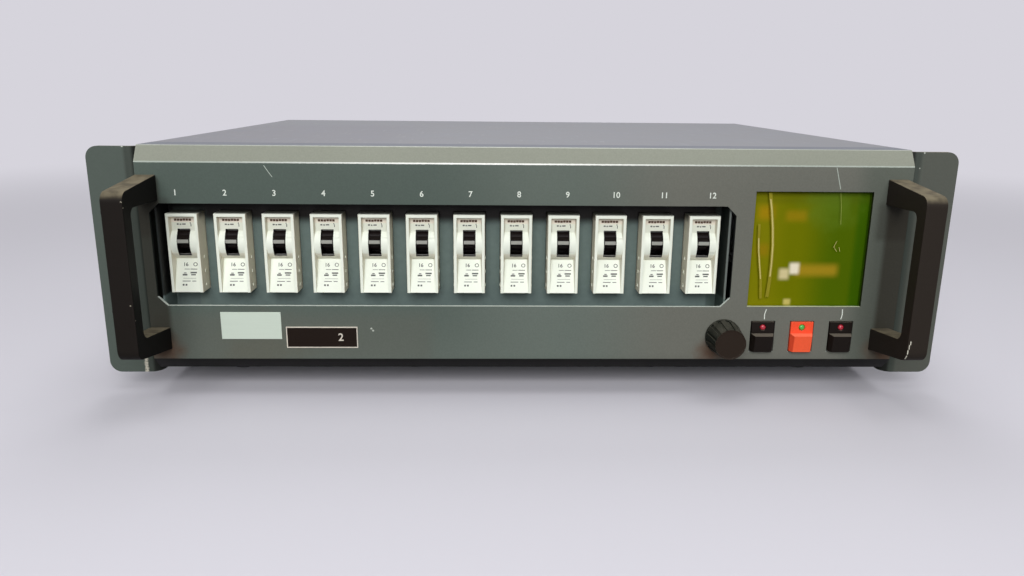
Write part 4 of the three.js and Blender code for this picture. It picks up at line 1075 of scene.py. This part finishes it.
class BuildCase(bpy.types.Operator):
    """Bends the side plates with their ears and the cover, and finishes the base, the rear and the feet"""

    bl_idname = "dimmer.build_case"
    bl_label = "Case"

    def execute(self, context):
        case = own_sizes(context.scene.dimmer_case)
        for side, sign in SIDES:
            self.side_plate(case, side, sign)
        self.cover(case)
        for node in ("base_tray", "rear_panel"):
            dress(node, finish("case"), case.edge)
        for corner in ("front_left", "front_right", "rear_left", "rear_right"):
            dress(f"foot_{corner}", finish("rubber"), 2 * case.edge)
        return {"FINISHED"}

    def side_plate(self, case, side, sign):
        low, high = reach(f"{side}_side_plate")
        tip, inner = (high.x, low.x) if sign > 0 else (low.x, high.x)
        middle, margin = middle_of(f"{side}_side_plate")[2], 1
        plate = sheet(f"{side}_plate", "y", (low.x, low.y, low.z), (high.x, low.y, high.z))
        with editing(plate):
            pick("edges", "z", x=inner)
            extrude(y=high.y - low.y)
            pick("edges", "z", x=inner, y=low.y)
            round_edges(case.ear_bend, 8)
        thicken(plate, case.ear_sheet)
        with editing(plate):
            pick("edges", "y", x=tip)
            round_edges(case.ear_corner, 8)
        coat(plate, finish("ear"), finish("cut"))
        slot_x = sign * case.rack_slot_x
        half_width, half_height = case.rack_slot_width / 2, case.rack_slot_height / 2
        slot_round, vent_round = half_height * 0.99, case.vent_width * 0.49
        for end in (-1, 1):
            z = middle + end * case.rack_slot_pitch / 2
            slot = box(
                "slot_cutter", (slot_x - half_width, low.y - margin, z - half_height),
                (slot_x + half_width, low.y + case.ear_sheet + margin, z + half_height),
            )
            with editing(slot):
                pick("edges", "y")
                round_edges(slot_round, 8)
            coat(slot, finish("cut"))
            carve(plate, slot)
        walls = sorted((inner - sign * margin, inner + sign * (case.ear_sheet + margin)))
        vent = box(
            "vent_cutter", (walls[0], case.vent_start, middle - case.vent_height / 2),
            (walls[1], case.vent_start + case.vent_width, middle + case.vent_height / 2),
        )
        with editing(vent):
            pick("edges", "x")
            round_edges(vent_round, 4)
        modify(
            vent, "ARRAY", count=case.vent_count, use_relative_offset=False, use_constant_offset=True,
            constant_offset_displace=(0, case.vent_pitch * MM, 0),
        )
        coat(vent, finish("cut"))
        carve(plate, vent)
        soften(plate, case.edge)
        settle(plate, "case", "panel_paint", f"{side}_side_plate")

    def cover(self, case):
        low, high = reach("top_cover")
        front = reach("front_panel")[1].y + case.cover_gap
        back = reach("rear_panel")[1].y - case.cover_gap - case.sheet
        lid = sheet("cover_shell", "z", (low.x, front, high.z), (high.x, high.y, high.z))
        with editing(lid):
            bpy.ops.mesh.select_all(action="SELECT")
            bpy.ops.mesh.bisect(plane_co=at(0, back, 0), plane_no=(0, 1, 0))
            pick("edges", test=lambda place, way: near(abs(place.x), high.x) and place.y < back)
            extrude(z=low.z - high.z)
        thicken(lid, case.cover_sheet)
        coat(lid, finish("cover"))
        soften(lid, case.edge, 3)
        settle(lid, "case", "case_paint", "top_cover")


class BuildHandles(bpy.types.Operator):
    """Carves the two bow handles"""

    bl_idname = "dimmer.build_handles"
    bl_label = "Handles"

    def execute(self, context):
        case = own_sizes(context.scene.dimmer_case)
        for side, _ in SIDES:
            low, high = reach(f"{side}_handle")
            inner = low.y + case.handle_grip
            bow = box(f"{side}_bow", tuple(low), (high.x, 0, high.z))
            with editing(bow):
                pick("verts", y=low.y, z=high.z)
                shift(z=-case.handle_top_fall)
                pick("verts", y=low.y, z=low.z)
                shift(z=case.handle_low_rise)
                pick("edges", "x", y=low.y)
                round_edges(case.handle_outer, 7)
            floor, roof = low.z + case.handle_low_arm, high.z - case.handle_high_arm
            margin, behind = 5, 6
            hollow = box("grip_cutter", (low.x - margin, inner, floor), (high.x + margin, behind, roof))
            with editing(hollow):
                pick("verts", y=inner, z=floor)
                shift(z=case.handle_low_lean)
                pick("verts", y=inner, z=roof)
                shift(z=case.handle_top_lean)
                pick("edges", "x", y=inner)
                round_edges(case.handle_inner, 6)
            carve(bow, hollow)
            coat(bow, finish("handle"))
            soften(bow, case.handle_edge)
            settle(bow, "case", "handle_paint", f"{side}_handle")
        return {"FINISHED"}


class BuildBreakers(bpy.types.Operator):
    """Moulds the breaker housings and their levers, and prints their marks"""

    bl_idname = "dimmer.build_breakers"
    bl_label = "Breakers"

    def execute(self, context):
        sizes = own_sizes(context.scene.dimmer_breakers)
        low, high = reach("breaker_01")
        sizes.x, _, sizes.z = middle_of("breaker_01")
        sizes.front = low.y
        sizes.pivot = (sizes.x, low.y + sizes.lever_setback, middle_of("breaker_lever_01")[2])
        sizes.field_half = (high.x - sizes.x) - sizes.rim
        sizes.cheek_low = sizes.z + sizes.print_top + sizes.print_step
        models = (
            (self.housing(sizes, low, high), "case", "breaker_plastic", "breaker"),
            (self.marks(sizes), "case", "lever_plastic", None),
            (self.name_dashes(sizes), "case", "lever_plastic", None),
            (self.lever(sizes), "lever", "lever_plastic", "breaker_lever"),
        )
        for number in BREAKERS:
            step = reach(f"breaker_{number}")[0].x - low.x
            for piece, body, slot, node in models:
                own_piece = copied(piece, piece.name[:-2] + number, step) if number != BREAKERS[0] else piece
                body_name = body if body == "case" else f"{body}_{number}"
                settle(own_piece, body_name, slot, *([f"{node}_{number}"] if node else []))
        dress("breaker_tray", finish("tray"), sizes.edge)
        dress("breaker_rail", finish("steel"))
        return {"FINISHED"}

    def housing(self, sizes, low, high):
        x, z, front = sizes.x, sizes.z, sizes.front
        nose, overlap, nose_round, rail_gap, margin = sizes.nose_height / 2, 1, 0.5, 0.3, 5
        shell = box("housing_01", (low.x, front, z - nose), (high.x, front + sizes.nose_depth + overlap, z + nose))
        coat(shell, finish("housing"))
        with editing(shell):
            pick("edges", test=lambda place, way: place.z > z - nose + 1, y=front)
            round_edges(nose_round, 3)
        body = box("body", (low.x, front + sizes.nose_depth, low.z), tuple(high))
        coat(body, finish("housing"))
        rail_low, rail_high = reach("breaker_rail")
        carve(body, box(
            "rail_cutter", (low.x - margin, rail_low.y - rail_gap, rail_low.z - rail_gap),
            (high.x + margin, high.y + margin, rail_high.z + rail_gap),
        ))
        fuse(shell, body, *self.side_bumps(sizes, low, high))
        slot, sill = self.slot_and_sill(sizes)
        carve(shell, self.upper_field(sizes), self.print_field(sizes), slot)
        fuse(shell, sill)
        seam_x, seam_half, seam_depth, seam_rise = x - 3.5, 0.12, 0.9, 2.4
        carve(shell, box(
            "seam", (seam_x - seam_half, front - 1, z - nose - 1),
            (seam_x + seam_half, front + seam_depth, z - nose + seam_rise),
        ))
        soften(shell, sizes.edge, limit=28)
        return shell

    def slot_and_sill(self, sizes):
        """The tool for the lever's slot, and the thin sill across its foot."""
        half, low = sizes.slot_width / 2, sizes.z + sizes.slot_rise - sizes.slot_height / 2
        slot = box(
            "lever_slot", (sizes.x - half, sizes.front - 5, low),
            (sizes.x + half, sizes.front + sizes.slot_depth, low + sizes.slot_height),
        )
        anchor, (sill_front, sill_back), (sill_low, sill_high) = 0.2, (3.7, 4.3), (0.35, 0.8)
        # The sill's pale colour is a painted highlight.
        sill = box(
            "sill", (sizes.x - half - anchor, sizes.front + sill_front, low + sill_low),
            (sizes.x + half + anchor, sizes.front + sill_back, low + sill_high),
        )
        coat(slot, finish("lever"))
        coat(sill, finish("ridge"))
        return slot, sill

    def side_bumps(self, sizes, low, high):
        """Small catches that stand out on both sides of the nose."""
        proud, half = 0.35, 0.7
        start, end = sizes.front + 5.5, sizes.front + 7.6
        for rise in (-3, -11, -19):
            z = sizes.z + rise
            yield box("catch", (low.x - proud, start, z - half), (high.x + proud, end, z + half))

    def upper_field(self, sizes):
        """The hollow inside the rim, with walls that lean and a round cheek on each side."""
        half, top = sizes.field_half, sizes.z + sizes.nose_height / 2 - sizes.rim
        front, back = sizes.front, sizes.front + sizes.field
        lean = sizes.wall_lean * sizes.field / sizes.print_depth
        field = box("field_cutter", (sizes.x - half, front, sizes.cheek_low), (sizes.x + half, back, top))
        with editing(field):
            pick("verts", y=back)
            stretch((sizes.x, 0, 0), x=(half - lean) / half)
            pick("verts", y=back, z=top)
            shift(z=-sizes.wall_lean)
            pick("faces", "-y")
            extrude(y=-3)
        return self.with_cheeks(field, sizes)

    def with_cheeks(self, field, sizes):
        """Takes a disc across the nose out of a hollow's tool, so that its rounded front is left standing."""
        chord, beyond = sizes.cheek_height / 2, 12
        arc = (chord ** 2 + sizes.field ** 2) / (2 * sizes.field)
        centre = (sizes.front + arc, sizes.cheek_low + chord)
        carve(field, rod("cheek", "x", arc, sizes.x - beyond, sizes.x + beyond, centre, sides=120))
        coat(field, finish("hollow"))
        return field

    def print_field(self, sizes):
        """The lower hollow: deepest under the cheeks, it rises towards the lower edge."""
        half, leaning = sizes.field_half, sizes.field_half - sizes.wall_lean
        top, bottom = sizes.z + sizes.print_top, sizes.z - sizes.nose_height / 2
        front, back = sizes.front, sizes.front + sizes.print_depth
        field = box("print_cutter", (sizes.x - half, front, bottom), (sizes.x + half, back, top))
        with editing(field):
            pick("verts", y=back)
            stretch((sizes.x, 0, 0), x=leaning / half)
            pick("verts", y=back, z=bottom)
            shift(y=sizes.print_end - sizes.print_depth)
            stretch((sizes.x, 0, 0), x=half / leaning)
            for way, step in (("+z", {"z": 2}), ("-z", {"z": -1}), ("-y", {"y": -3})):
                pick("faces", way)
                extrude(**step)
        return self.with_cheeks(field, sizes)

    def laid(self, piece, sizes):
        """Leans flat printing back onto the slope of the print field."""
        drop = sizes.nose_height / 2 + sizes.print_top
        slope = math.atan2(sizes.print_depth - sizes.print_end, drop)
        pivot = (sizes.x, sizes.front + sizes.print_depth, sizes.z + sizes.print_top)
        return turned(piece, pivot, -slope)

    def dashes(self, sizes, y, rows):
        """Short thick lines, each given by its ends, its height above the nose's middle and its thickness."""
        thin = 0.04
        for left, right, rise, height in rows:
            low = (sizes.x + left, y - thin, sizes.z + rise - height / 2)
            yield box("dash", low, (sizes.x + right, y, sizes.z + rise + height / 2))

    def marks(self, sizes):
        """Plain printed marks: the rating number, a ring for off, an upright for on and thin lines."""
        low_y, high_y = sizes.front + sizes.print_depth, sizes.front + sizes.field
        word_y, word_z = low_y - LETTER_LIFT, sizes.z - 7.4
        lower = (
            (-1.9, 1.0, -10.0, 0.3), (1.4, 5.2, -10.0, 0.4), (1.4, 5.0, -12.0, 0.85), (1.8, 4.4, -13.2, 0.7),
            (-3.0, -0.4, -13.2, 0.9), (-2.3, -0.9, -12.2, 0.5), (-2.6, 4.6, -15.2, 0.16), (-3.0, 1.4, -16.8, 0.4),
            (2.4, 4.6, -16.8, 0.4), (-3.0, -2.0, -18.9, 1.0), (-1.4, -0.4, -18.9, 1.0),
        )
        sloped = collect(
            lettering("marks_01", "16", 2.9, sizes.x - 1.2, word_y, word_z, 0.06),
            lettering("ring", "O", 3.1, sizes.x + 4.2, word_y, word_z, 0.04), *self.dashes(sizes, low_y, lower),
        )
        upper = (
            (-3.7, -2.6, 16.1, 0.8), (-2.1, -1.2, 16.0, 0.7), (-0.7, 1.2, 16.1, 0.7), (3.6, 4.0, 16.8, 0.8),
            (3.9, 4.3, 15.6, 1.6),
        )
        self.laid(sloped, sizes)
        marks = collect(sloped, *self.dashes(sizes, high_y, upper))
        coat(marks, finish("mark"))
        return marks

    def name_dashes(self, sizes):
        """A row of plain dark dashes at the top of the field."""
        rows = [(left, left + 1.35, 18.5 + 0.1 * (left % 2), 1.25) for left in (-5.0, -3.4, -1.8, -0.2, 1.4, 3.0)]
        row = collect(*self.dashes(sizes, sizes.front + sizes.field, rows))
        row.name = row.data.name = "name_dashes_01"
        coat(row, finish("name"))
        return row

    def lever(self, sizes):
        """The lever's drum with its thumb piece, a pale strip on the tip as a painted highlight and a thin ridge above
        it.
        """
        x, y, z = sizes.pivot
        radius, tip, out = sizes.lever_radius, sizes.lever_tip, sizes.lever_reach
        half, root = sizes.slot_width / 2 - sizes.lever_gap, radius * 0.93
        strip_proud, strip_thick, strip_low, strip_high = 0.35, 0.5, tip * 0.6, tip * 0.35
        drum = rod("lever_01", "x", radius, x - half, x + half, (y, z), sides=48)
        thumb = box("thumb", (x - half, y - out + strip_proud, z - tip / 2), (x + half, y, z + tip / 2))
        with editing(thumb):
            for side in (1, -1):
                pick("verts", y=y, z=z + side * tip / 2)
                shift(z=side * (root - tip / 2))
        fuse(drum, thumb)
        coat(drum, finish("lever"))
        soften(drum, 0.25, limit=40)
        inner = half - 0.15
        strip = box("strip", (x - inner, y - out, z - strip_low), (x + inner, y - out + strip_thick, z + strip_high))
        soften(strip, 0.2)
        coat(strip, finish("tip"))
        turn, ridge_half = math.radians(66), 0.25
        ridge_y, ridge_z = y - radius * math.cos(turn), z + radius * math.sin(turn)
        ridge = box(
            "ridge", (x - inner, ridge_y - ridge_half, ridge_z - ridge_half),
            (x + inner, ridge_y + 2 * ridge_half, ridge_z + ridge_half),
        )
        coat(ridge, finish("ridge"))
        for piece in (drum, strip):
            turned(piece, sizes.pivot, -sizes.lever_angle)
        return collect(drum, strip, ridge)


class BuildDisplay(bpy.types.Operator):
    """Finishes the display and what lies behind it"""

    bl_idname = "dimmer.build_display"
    bl_label = "Display"

    def execute(self, context):
        dress("display_window", finish("display"))
        dress("display_module", finish("black"), 0.3)
        dress("control_board", finish("board"))
        dress("encoder_body", finish("steel"), 0.3)
        return {"FINISHED"}


class BuildControls(bpy.types.Operator):
    """Turns the knob and moulds the keys and their lamps"""

    bl_idname = "dimmer.build_controls"
    bl_label = "Knob and keys"

    def execute(self, context):
        sizes = own_sizes(context.scene.dimmer_controls)
        self.knob(sizes)
        for side in KEYS:
            self.key(sizes, side)
        return {"FINISHED"}

    def knob(self, sizes):
        low, high = reach("encoder_knob")
        x, _, z = middle_of("encoder_knob")
        radius, front, base = (high.x - low.x) / 2, low.y, -0.4
        skirt_front, skirt_proud = base - sizes.knob_skirt, 0.1
        facets, groove_share, groove_edge = 5, 0.4, 0.12
        face_depth, rim, dish, dish_edge = 1.5, 0.9, 0.25, 0.4
        knob = rod(
            "knob_body", "y", radius - skirt_proud, front, skirt_front, (x, z), sides=sizes.knob_ribs * facets,
        )
        share = sizes.knob_face / radius

        def groove(place, way):
            turn = math.atan2(place.z - z, place.x - x) / (2 * math.pi) * sizes.knob_ribs
            return abs(way.y) < 0.5 and (turn + 10) % 1 < groove_share

        with editing(knob):
            pick("faces", test=groove)
            inset(groove_edge, -sizes.knob_groove)
            pick("faces", "-y", y=front)
            inset(rim, -dish)
            inset(dish_edge)
            pick("verts", test=lambda place, way: place.y < front + face_depth)
            stretch((x, front, z), x=share, z=share)
        fuse(knob, rod("skirt", "y", radius, skirt_front - 0.2, base, (x, z), sides=64))
        # The bevels take the second colour: edge wear with painted highlights.
        coat(knob, finish("knob"), finish("worn knob"))
        soften(knob, 0.16, limit=35, material=1)
        settle(knob, "knob", "knob_plastic", "encoder_knob")

    def key(self, sizes, side):
        low, high = reach(f"key_cap_{side}")
        x, _, z = middle_of(f"key_cap_{side}")
        face, back, ridge = -0.6, 5, z + sizes.key_ridge
        pad, pad_fall, pad_share = face - sizes.key_pad, 0.7, 0.78
        stem, stem_end, stem_gap = 2, 9, 0.3
        lamp_hole, lamp_centre = sizes.lamp_radius + 0.35, (x, z + sizes.lamp_rise)
        cap = box(f"cap_{side}", (low.x, face, low.z), (high.x, back, high.z))
        with editing(cap):
            bpy.ops.mesh.select_all(action="SELECT")
            bpy.ops.mesh.bisect(plane_co=at(0, 0, ridge), plane_no=(0, 0, 1))
            pick("faces", "-y", lambda place, way: place.z < ridge)
            extrude(y=-sizes.key_pad)
            pick("verts", y=pad, z=ridge)
            shift(z=-pad_fall)
            pick("verts", y=pad, z=low.z)
            shift(y=sizes.key_toe)
            pick("verts", test=lambda place, way: place.y < face - 1)
            stretch((x, face, z), x=pad_share)
        carve(cap, rod("lamp_cutter", "y", lamp_hole, face - 2, face + 1.6, lamp_centre))
        fuse(cap, box("stem", (x - stem, back - 0.2, z - stem), (x + stem, stem_end, z + stem)))
        middle = side == "middle"
        coat(cap, finish("middle key" if middle else "key"))
        soften(cap, 0.3, limit=25)
        settle(cap, f"key_{side}", "red_plastic" if middle else "black_plastic", f"key_cap_{side}")
        self.switch(side, x, z, stem + stem_gap)
        self.lamp(sizes, side, face + 0.1, lamp_centre)

    def switch(self, side, x, z, hole):
        """The body behind a key, open where the key's stem sinks in."""
        low, high = reach(f"key_switch_{side}")
        hole_end = 11.3
        body = box(f"switch_{side}", (low.x, SWITCH_FRONT, low.z), tuple(high))
        carve(body, box("stem_cutter", (x - hole, 0, z - hole), (x + hole, hole_end, z + hole)))
        coat(body, finish("black"))
        soften(body, 0.3)
        settle(body, "case", "black_plastic", f"key_switch_{side}")

    def lamp(self, sizes, side, front, centre):
        """A lamp that stands on its switch and ends in a low dome."""
        lamp = rod(f"lamp_{side}", "y", sizes.lamp_radius, front, SWITCH_FRONT + 0.1, centre, sides=24)
        with editing(lamp):
            pick("faces", "-y")
            for share, rise in ((0.25, 0.4), (0.35, 0.22)):
                inset(sizes.lamp_radius * share, rise)
        coat(lamp, finish("green lamp" if side == "middle" else "red lamp"))
        smooth(lamp, 60)
        settle(lamp, "case", "black_plastic")


class BuildMarkings(bpy.types.Operator):
    """Prints the channel numbers and lines, and fixes the plate and the label"""

    bl_idname = "dimmer.build_markings"
    bl_label = "Markings"

    def execute(self, context):
        self.numbers(own_sizes(context.scene.dimmer_controls))
        self.lines(reach("display_window")[0].y)
        plate = box("bare_plate", (-172.3, -0.5, 23.2), (-138.6, 0, 39.0))
        coat(plate, finish("plate"))
        soften(plate, 0.15)
        settle(plate, "case", "bare_aluminium")
        self.label()
        return {"FINISHED"}

    def numbers(self, sizes):
        """The channel numbers over the breakers, as one piece."""
        row = []
        for number in BREAKERS:
            x = middle_of(f"breaker_{number}")[0] + sizes.numeral_shift
            word = str(int(number))
            row.append(lettering("number", word, sizes.numeral, x, -LETTER_LIFT, sizes.numeral_height, 0.06))
        numerals = collect(*row)
        numerals.name = numerals.data.name = "channel_numbers"
        coat(numerals, finish("ink"))
        settle(numerals, "case", "breaker_plastic")

    def lines(self, pane):
        """The tick lines over the outer keys, the scratches on panel and pane, and streaks of painted reflection on the
        pane.
        """
        long_path = ((135.6, 98), (137.0, 88), (137.9, 78), (138.1, 68))
        short_path = ((129.6, 82), (130.3, 74), (131.5, 66))
        for name, look, y, width, points in (
            ("left_tick", "ink", 0, 0.5, ((136.8, 41.3), (136.0, 38.4), (136.1, 35.4))),
            ("right_tick", "ink", 0, 0.5, ((180.7, 41.3), (180.9, 38.4), (180.3, 35.4))),
            ("panel_scratch", "scratch", 0, 0.45, ((-142.6, 120.8), (-140.4, 117.4), (-138.5, 114.7))),
            ("upper_scratch", "scratch", 0, 0.4, ((168.6, 121.8), (170.2, 116), (171.9, 110))),
            ("pane_scratch", "faint scratch", pane, 0.3, ((173.4, 107.2), (174.4, 100), (175.2, 90))),
            ("pane_mark", "streak", pane, 0.3, ((174.0, 80.4), (172.6, 77.2), (174.6, 74.6))),
            ("pane_nick", "streak", pane, 0.25, ((175.6, 77), (176.4, 74.6))),
            # Painted reflections: the long and short streaks, each on a wider amber edge.
            ("long_streak_edge", "streak edge", pane, 1.9, ((134.0, 107.6), *long_path, (137.9, 58), (137.2, 48))),
            ("long_streak", "streak", pane - LINE_LIFT, 0.8, ((134.4, 104), *long_path, (137.9, 60))),
            ("short_streak_edge", "streak edge", pane, 1.4, ((129.3, 90), *short_path, (132.7, 58), (133.6, 47))),
            ("short_streak", "streak", pane - LINE_LIFT, 0.6, (*short_path, (132.6, 58.6))),
        ):
            self.line(name, look, y, width, points)

    def label(self):
        """The dark label: a pale border, a sunk field and a number on it."""
        label_front, border, border_step = -0.7, 0.55, 0.12
        label = box("label_plate", (-136.1, label_front, 18.1), (-95.9, 0, 30.5))
        coat(label, finish("border"), finish("label"))
        with editing(label):
            pick("faces", "-y")
            inset(border, -border_step)
            bpy.context.object.active_material_index = 1
            bpy.ops.object.material_slot_assign()
        soften(label, 0.08)
        settle(label, "case", "black_plastic")
        number_y = label_front + border_step - LETTER_LIFT
        numeral = lettering("label_number", "2", 6.2, -105.4, number_y, 24.2, 0.08)
        coat(numeral, finish("border"))
        settle(numeral, "case", "breaker_plastic")

    def line(self, name, look, y, width, points):
        """A thin line downwards through points on a flat face."""
        (x, z), rest = points[0], points[1:]
        y -= LINE_LIFT
        strip = sheet(name, "y", (x - width / 2, y, z), (x + width / 2, y, z + 0.05))
        with editing(strip):
            for next_x, next_z in rest:
                pick("edges", "x", lambda place, way: near(place.z, z, 0.02))
                extrude(x=next_x - x, z=next_z - z)
                x, z = next_x, next_z
        coat(strip, finish(look))
        settle(strip, "case", "breaker_plastic")


class BuildRear(bpy.types.Operator):
    """Finishes the sockets, the gland, the fan and the parts inside"""

    bl_idname = "dimmer.build_rear"
    bl_label = "Rear and inside"

    def execute(self, context):
        looks = {
            "outlet_left": ("alloy", 0.4), "outlet_right": ("alloy", 0.4), "data_in_socket": ("steel", 0.3),
            "data_out_socket": ("steel", 0.3), "supply_gland": ("black", 0.4), "fan_frame": ("black", 0),
            "fan_rotor": ("black", 0), "heat_sink": ("alloy", 0), "power_modules": ("black", 0),
            "choke_bank": ("copper", 0), "terminal_row": ("terminal", 0),
        }
        for node, (look, width) in looks.items():
            dress(node, finish(look), width)
        return {"FINISHED"}


class BuildStage(bpy.types.Operator):
    """Lays the floor and backdrop, and sets the lights and the camera"""

    bl_idname = "dimmer.build_stage"
    bl_label = "Stage"

    def execute(self, context):
        stage = own_sizes(context.scene.dimmer_stage)
        deselect()
        width, depth, start, wall, bend = 12, 10, 1.0, 5000, 1500
        bpy.ops.mesh.primitive_plane_add(size=1, location=(0, start, 0))
        bpy.context.object.scale = (width, depth, 1)
        ground = named("floor")
        with editing(ground):
            pick("edges", "x", lambda place, way: place.y > wall / 2)
            extrude(z=wall)
            pick("edges", "x", lambda place, way: place.y > wall / 2 and place.z < wall / 2)
            round_edges(bend, 16)
        smooth(ground, 60)
        coat(ground, self.floor_paint(stage))
        ground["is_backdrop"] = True
        for name, place, target, size, power in (
            ("top_light", (0.1, -0.25, 1.6), (0.0, 0.0, 0.1), (1.6, 1.0), stage.top_power),
            ("front_light", (-0.1, -1.95, 1.05), (0.0, -0.15, 0.07), (1.8, 1.2), stage.front_power),
            ("rear_light", (0.0, 1.3, 1.7), (0.0, 0.1, 0.08), (1.4, 1.0), stage.rear_power),
        ):
            self.light(name, place, target, size, power)
        context.scene.world = self.even_light(stage)
        context.scene.view_settings.view_transform = "Standard"
        self.camera(context)
        return {"FINISHED"}

    def seen(self, tree):
        """One where a ray comes from the camera, a mirroring surface or glass."""
        path = tree.nodes.new("ShaderNodeLightPath").outputs
        both = maths(tree, "ADD", path["Is Camera Ray"], path["Is Glossy Ray"])
        return maths(tree, "ADD", both, path["Is Transmission Ray"], clamp=True)

    def even_light(self, stage):
        """A weak even light that is seen as pale as the backdrop."""
        world = bpy.data.worlds.new("even_light")
        world.use_nodes = True
        tree = world.node_tree
        weak = tree.nodes["Background"]
        pale = add_node(tree, "ShaderNodeBackground", Color=(*stage.floor_colour, 1), Strength=1.0)
        cool_white = (0.97, 0.98, 1.0, 1)
        connect(tree, cool_white, weak.inputs["Color"])
        connect(tree, stage.world, weak.inputs["Strength"])
        self.blend(tree, self.seen(tree), weak, pale, tree.nodes["World Output"])
        return world

    def blend(self, tree, share, first, second, output=None):
        mix = tree.nodes.new("ShaderNodeMixShader")
        tree.links.new(share, mix.inputs[0])
        tree.links.new(first.outputs[0], mix.inputs[1])
        tree.links.new(second.outputs[0], mix.inputs[2])
        if output:
            tree.links.new(mix.outputs[0], output.inputs["Surface"])
        return mix

    def floor_paint(self, stage):
        """Pale where it is seen or mirrored, darker where its light would fall on the object."""
        made = bpy.data.materials.new("floor_paint")
        made.use_nodes = True
        tree = made.node_tree
        tree.nodes.remove(tree.nodes["Principled BSDF"])
        pale = add_node(tree, "ShaderNodeBsdfDiffuse", Color=(*stage.floor_colour, 1))
        even = add_node(tree, "ShaderNodeEmission", Color=(*stage.floor_colour, 1), Strength=1.0)
        dark = add_node(tree, "ShaderNodeBsdfDiffuse", Color=(*stage.floor_dark, 1))
        place = tree.nodes.new("ShaderNodeNewGeometry").outputs["Position"]
        far = ranged(tree, vector_maths(tree, "LENGTH", place)["Value"], 0.5, 1.6)
        backdrop = self.blend(tree, far, pale, even)
        self.blend(tree, self.seen(tree), dark, backdrop, tree.nodes["Material Output"])
        return made

    def light(self, name, place, target, size, power):
        made = bpy.data.lights.new(name, "AREA")
        made.shape = "RECTANGLE"
        made.size, made.size_y = size
        made.energy = power
        lamp = bpy.data.objects.new(name, made)
        bpy.context.scene.collection.objects.link(lamp)
        lamp.location = place
        lamp.rotation_euler = (Vector(target) - Vector(place)).to_track_quat("-Z", "Y").to_euler()

    def camera(self, context):
        """A wide lens close to the front, a little left of the middle and above the cover."""
        yaw, pitch, roll, eye = 0.0268, 0.24848, -0.00963, at(-20.14, -430.65, 162.68)
        forward = Vector((math.sin(yaw) * math.cos(pitch), math.cos(yaw) * math.cos(pitch), -math.sin(pitch)))
        level = Vector((math.cos(yaw), -math.sin(yaw), 0))
        down = forward.cross(level)
        right = math.cos(roll) * level + math.sin(roll) * down
        down = math.cos(roll) * down - math.sin(roll) * level
        turn = Matrix((right, -down, -forward)).transposed()
        made = bpy.data.cameras.new("camera")
        made.sensor_fit = "HORIZONTAL"
        made.sensor_width = 36
        made.lens = 27.792
        made.clip_start = 0.02
        camera = bpy.data.objects.new("camera", made)
        context.scene.collection.objects.link(camera)
        camera.matrix_world = Matrix.Translation(eye) @ turn.to_4x4()
        context.scene.camera = camera


BUILDERS = (
    BuildStage, BuildPanel, BuildCase, BuildHandles, BuildBreakers, BuildDisplay, BuildControls, BuildMarkings,
    BuildRear,
)
SETTINGS = {
    "dimmer_case": CaseSettings, "dimmer_breakers": BreakerSettings, "dimmer_controls": ControlSettings,
    "dimmer_stage": StageSettings,
}


class DimmerPanel(bpy.types.Panel):
    """Lists the builders and their settings"""

    bl_idname = "DIMMER_PT_pieces"
    bl_label = "Dimmer pack"
    bl_space_type = "VIEW_3D"
    bl_region_type = "UI"
    bl_category = "Dimmer pack"

    def draw(self, context):
        for builder in BUILDERS:
            self.layout.operator(builder.bl_idname)
        for name, group in SETTINGS.items():
            section = self.layout.box()
            section.label(text=group.__doc__)
            for item in group.__annotations__:
                section.prop(getattr(context.scene, name), item)


def register():
    for item in (*SETTINGS.values(), *BUILDERS, DimmerPanel):
        bpy.utils.register_class(item)
    for name, group in SETTINGS.items():
        setattr(bpy.types.Scene, name, PointerProperty(type=group))


def unregister():
    for name in SETTINGS:
        delattr(bpy.types.Scene, name)
    for item in reversed((*SETTINGS.values(), *BUILDERS, DimmerPanel)):
        bpy.utils.unregister_class(item)


def main():
    register()
    for builder in BUILDERS:
        group, action = builder.bl_idname.split(".")
        getattr(getattr(bpy.ops, group), action)()
    sizes = {"cad": CAD_BOX, "visual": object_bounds()}
    {name: [list(corner) for corner in corners] for name, corners in sizes.items()}


if __name__ == "__main__":
    main()
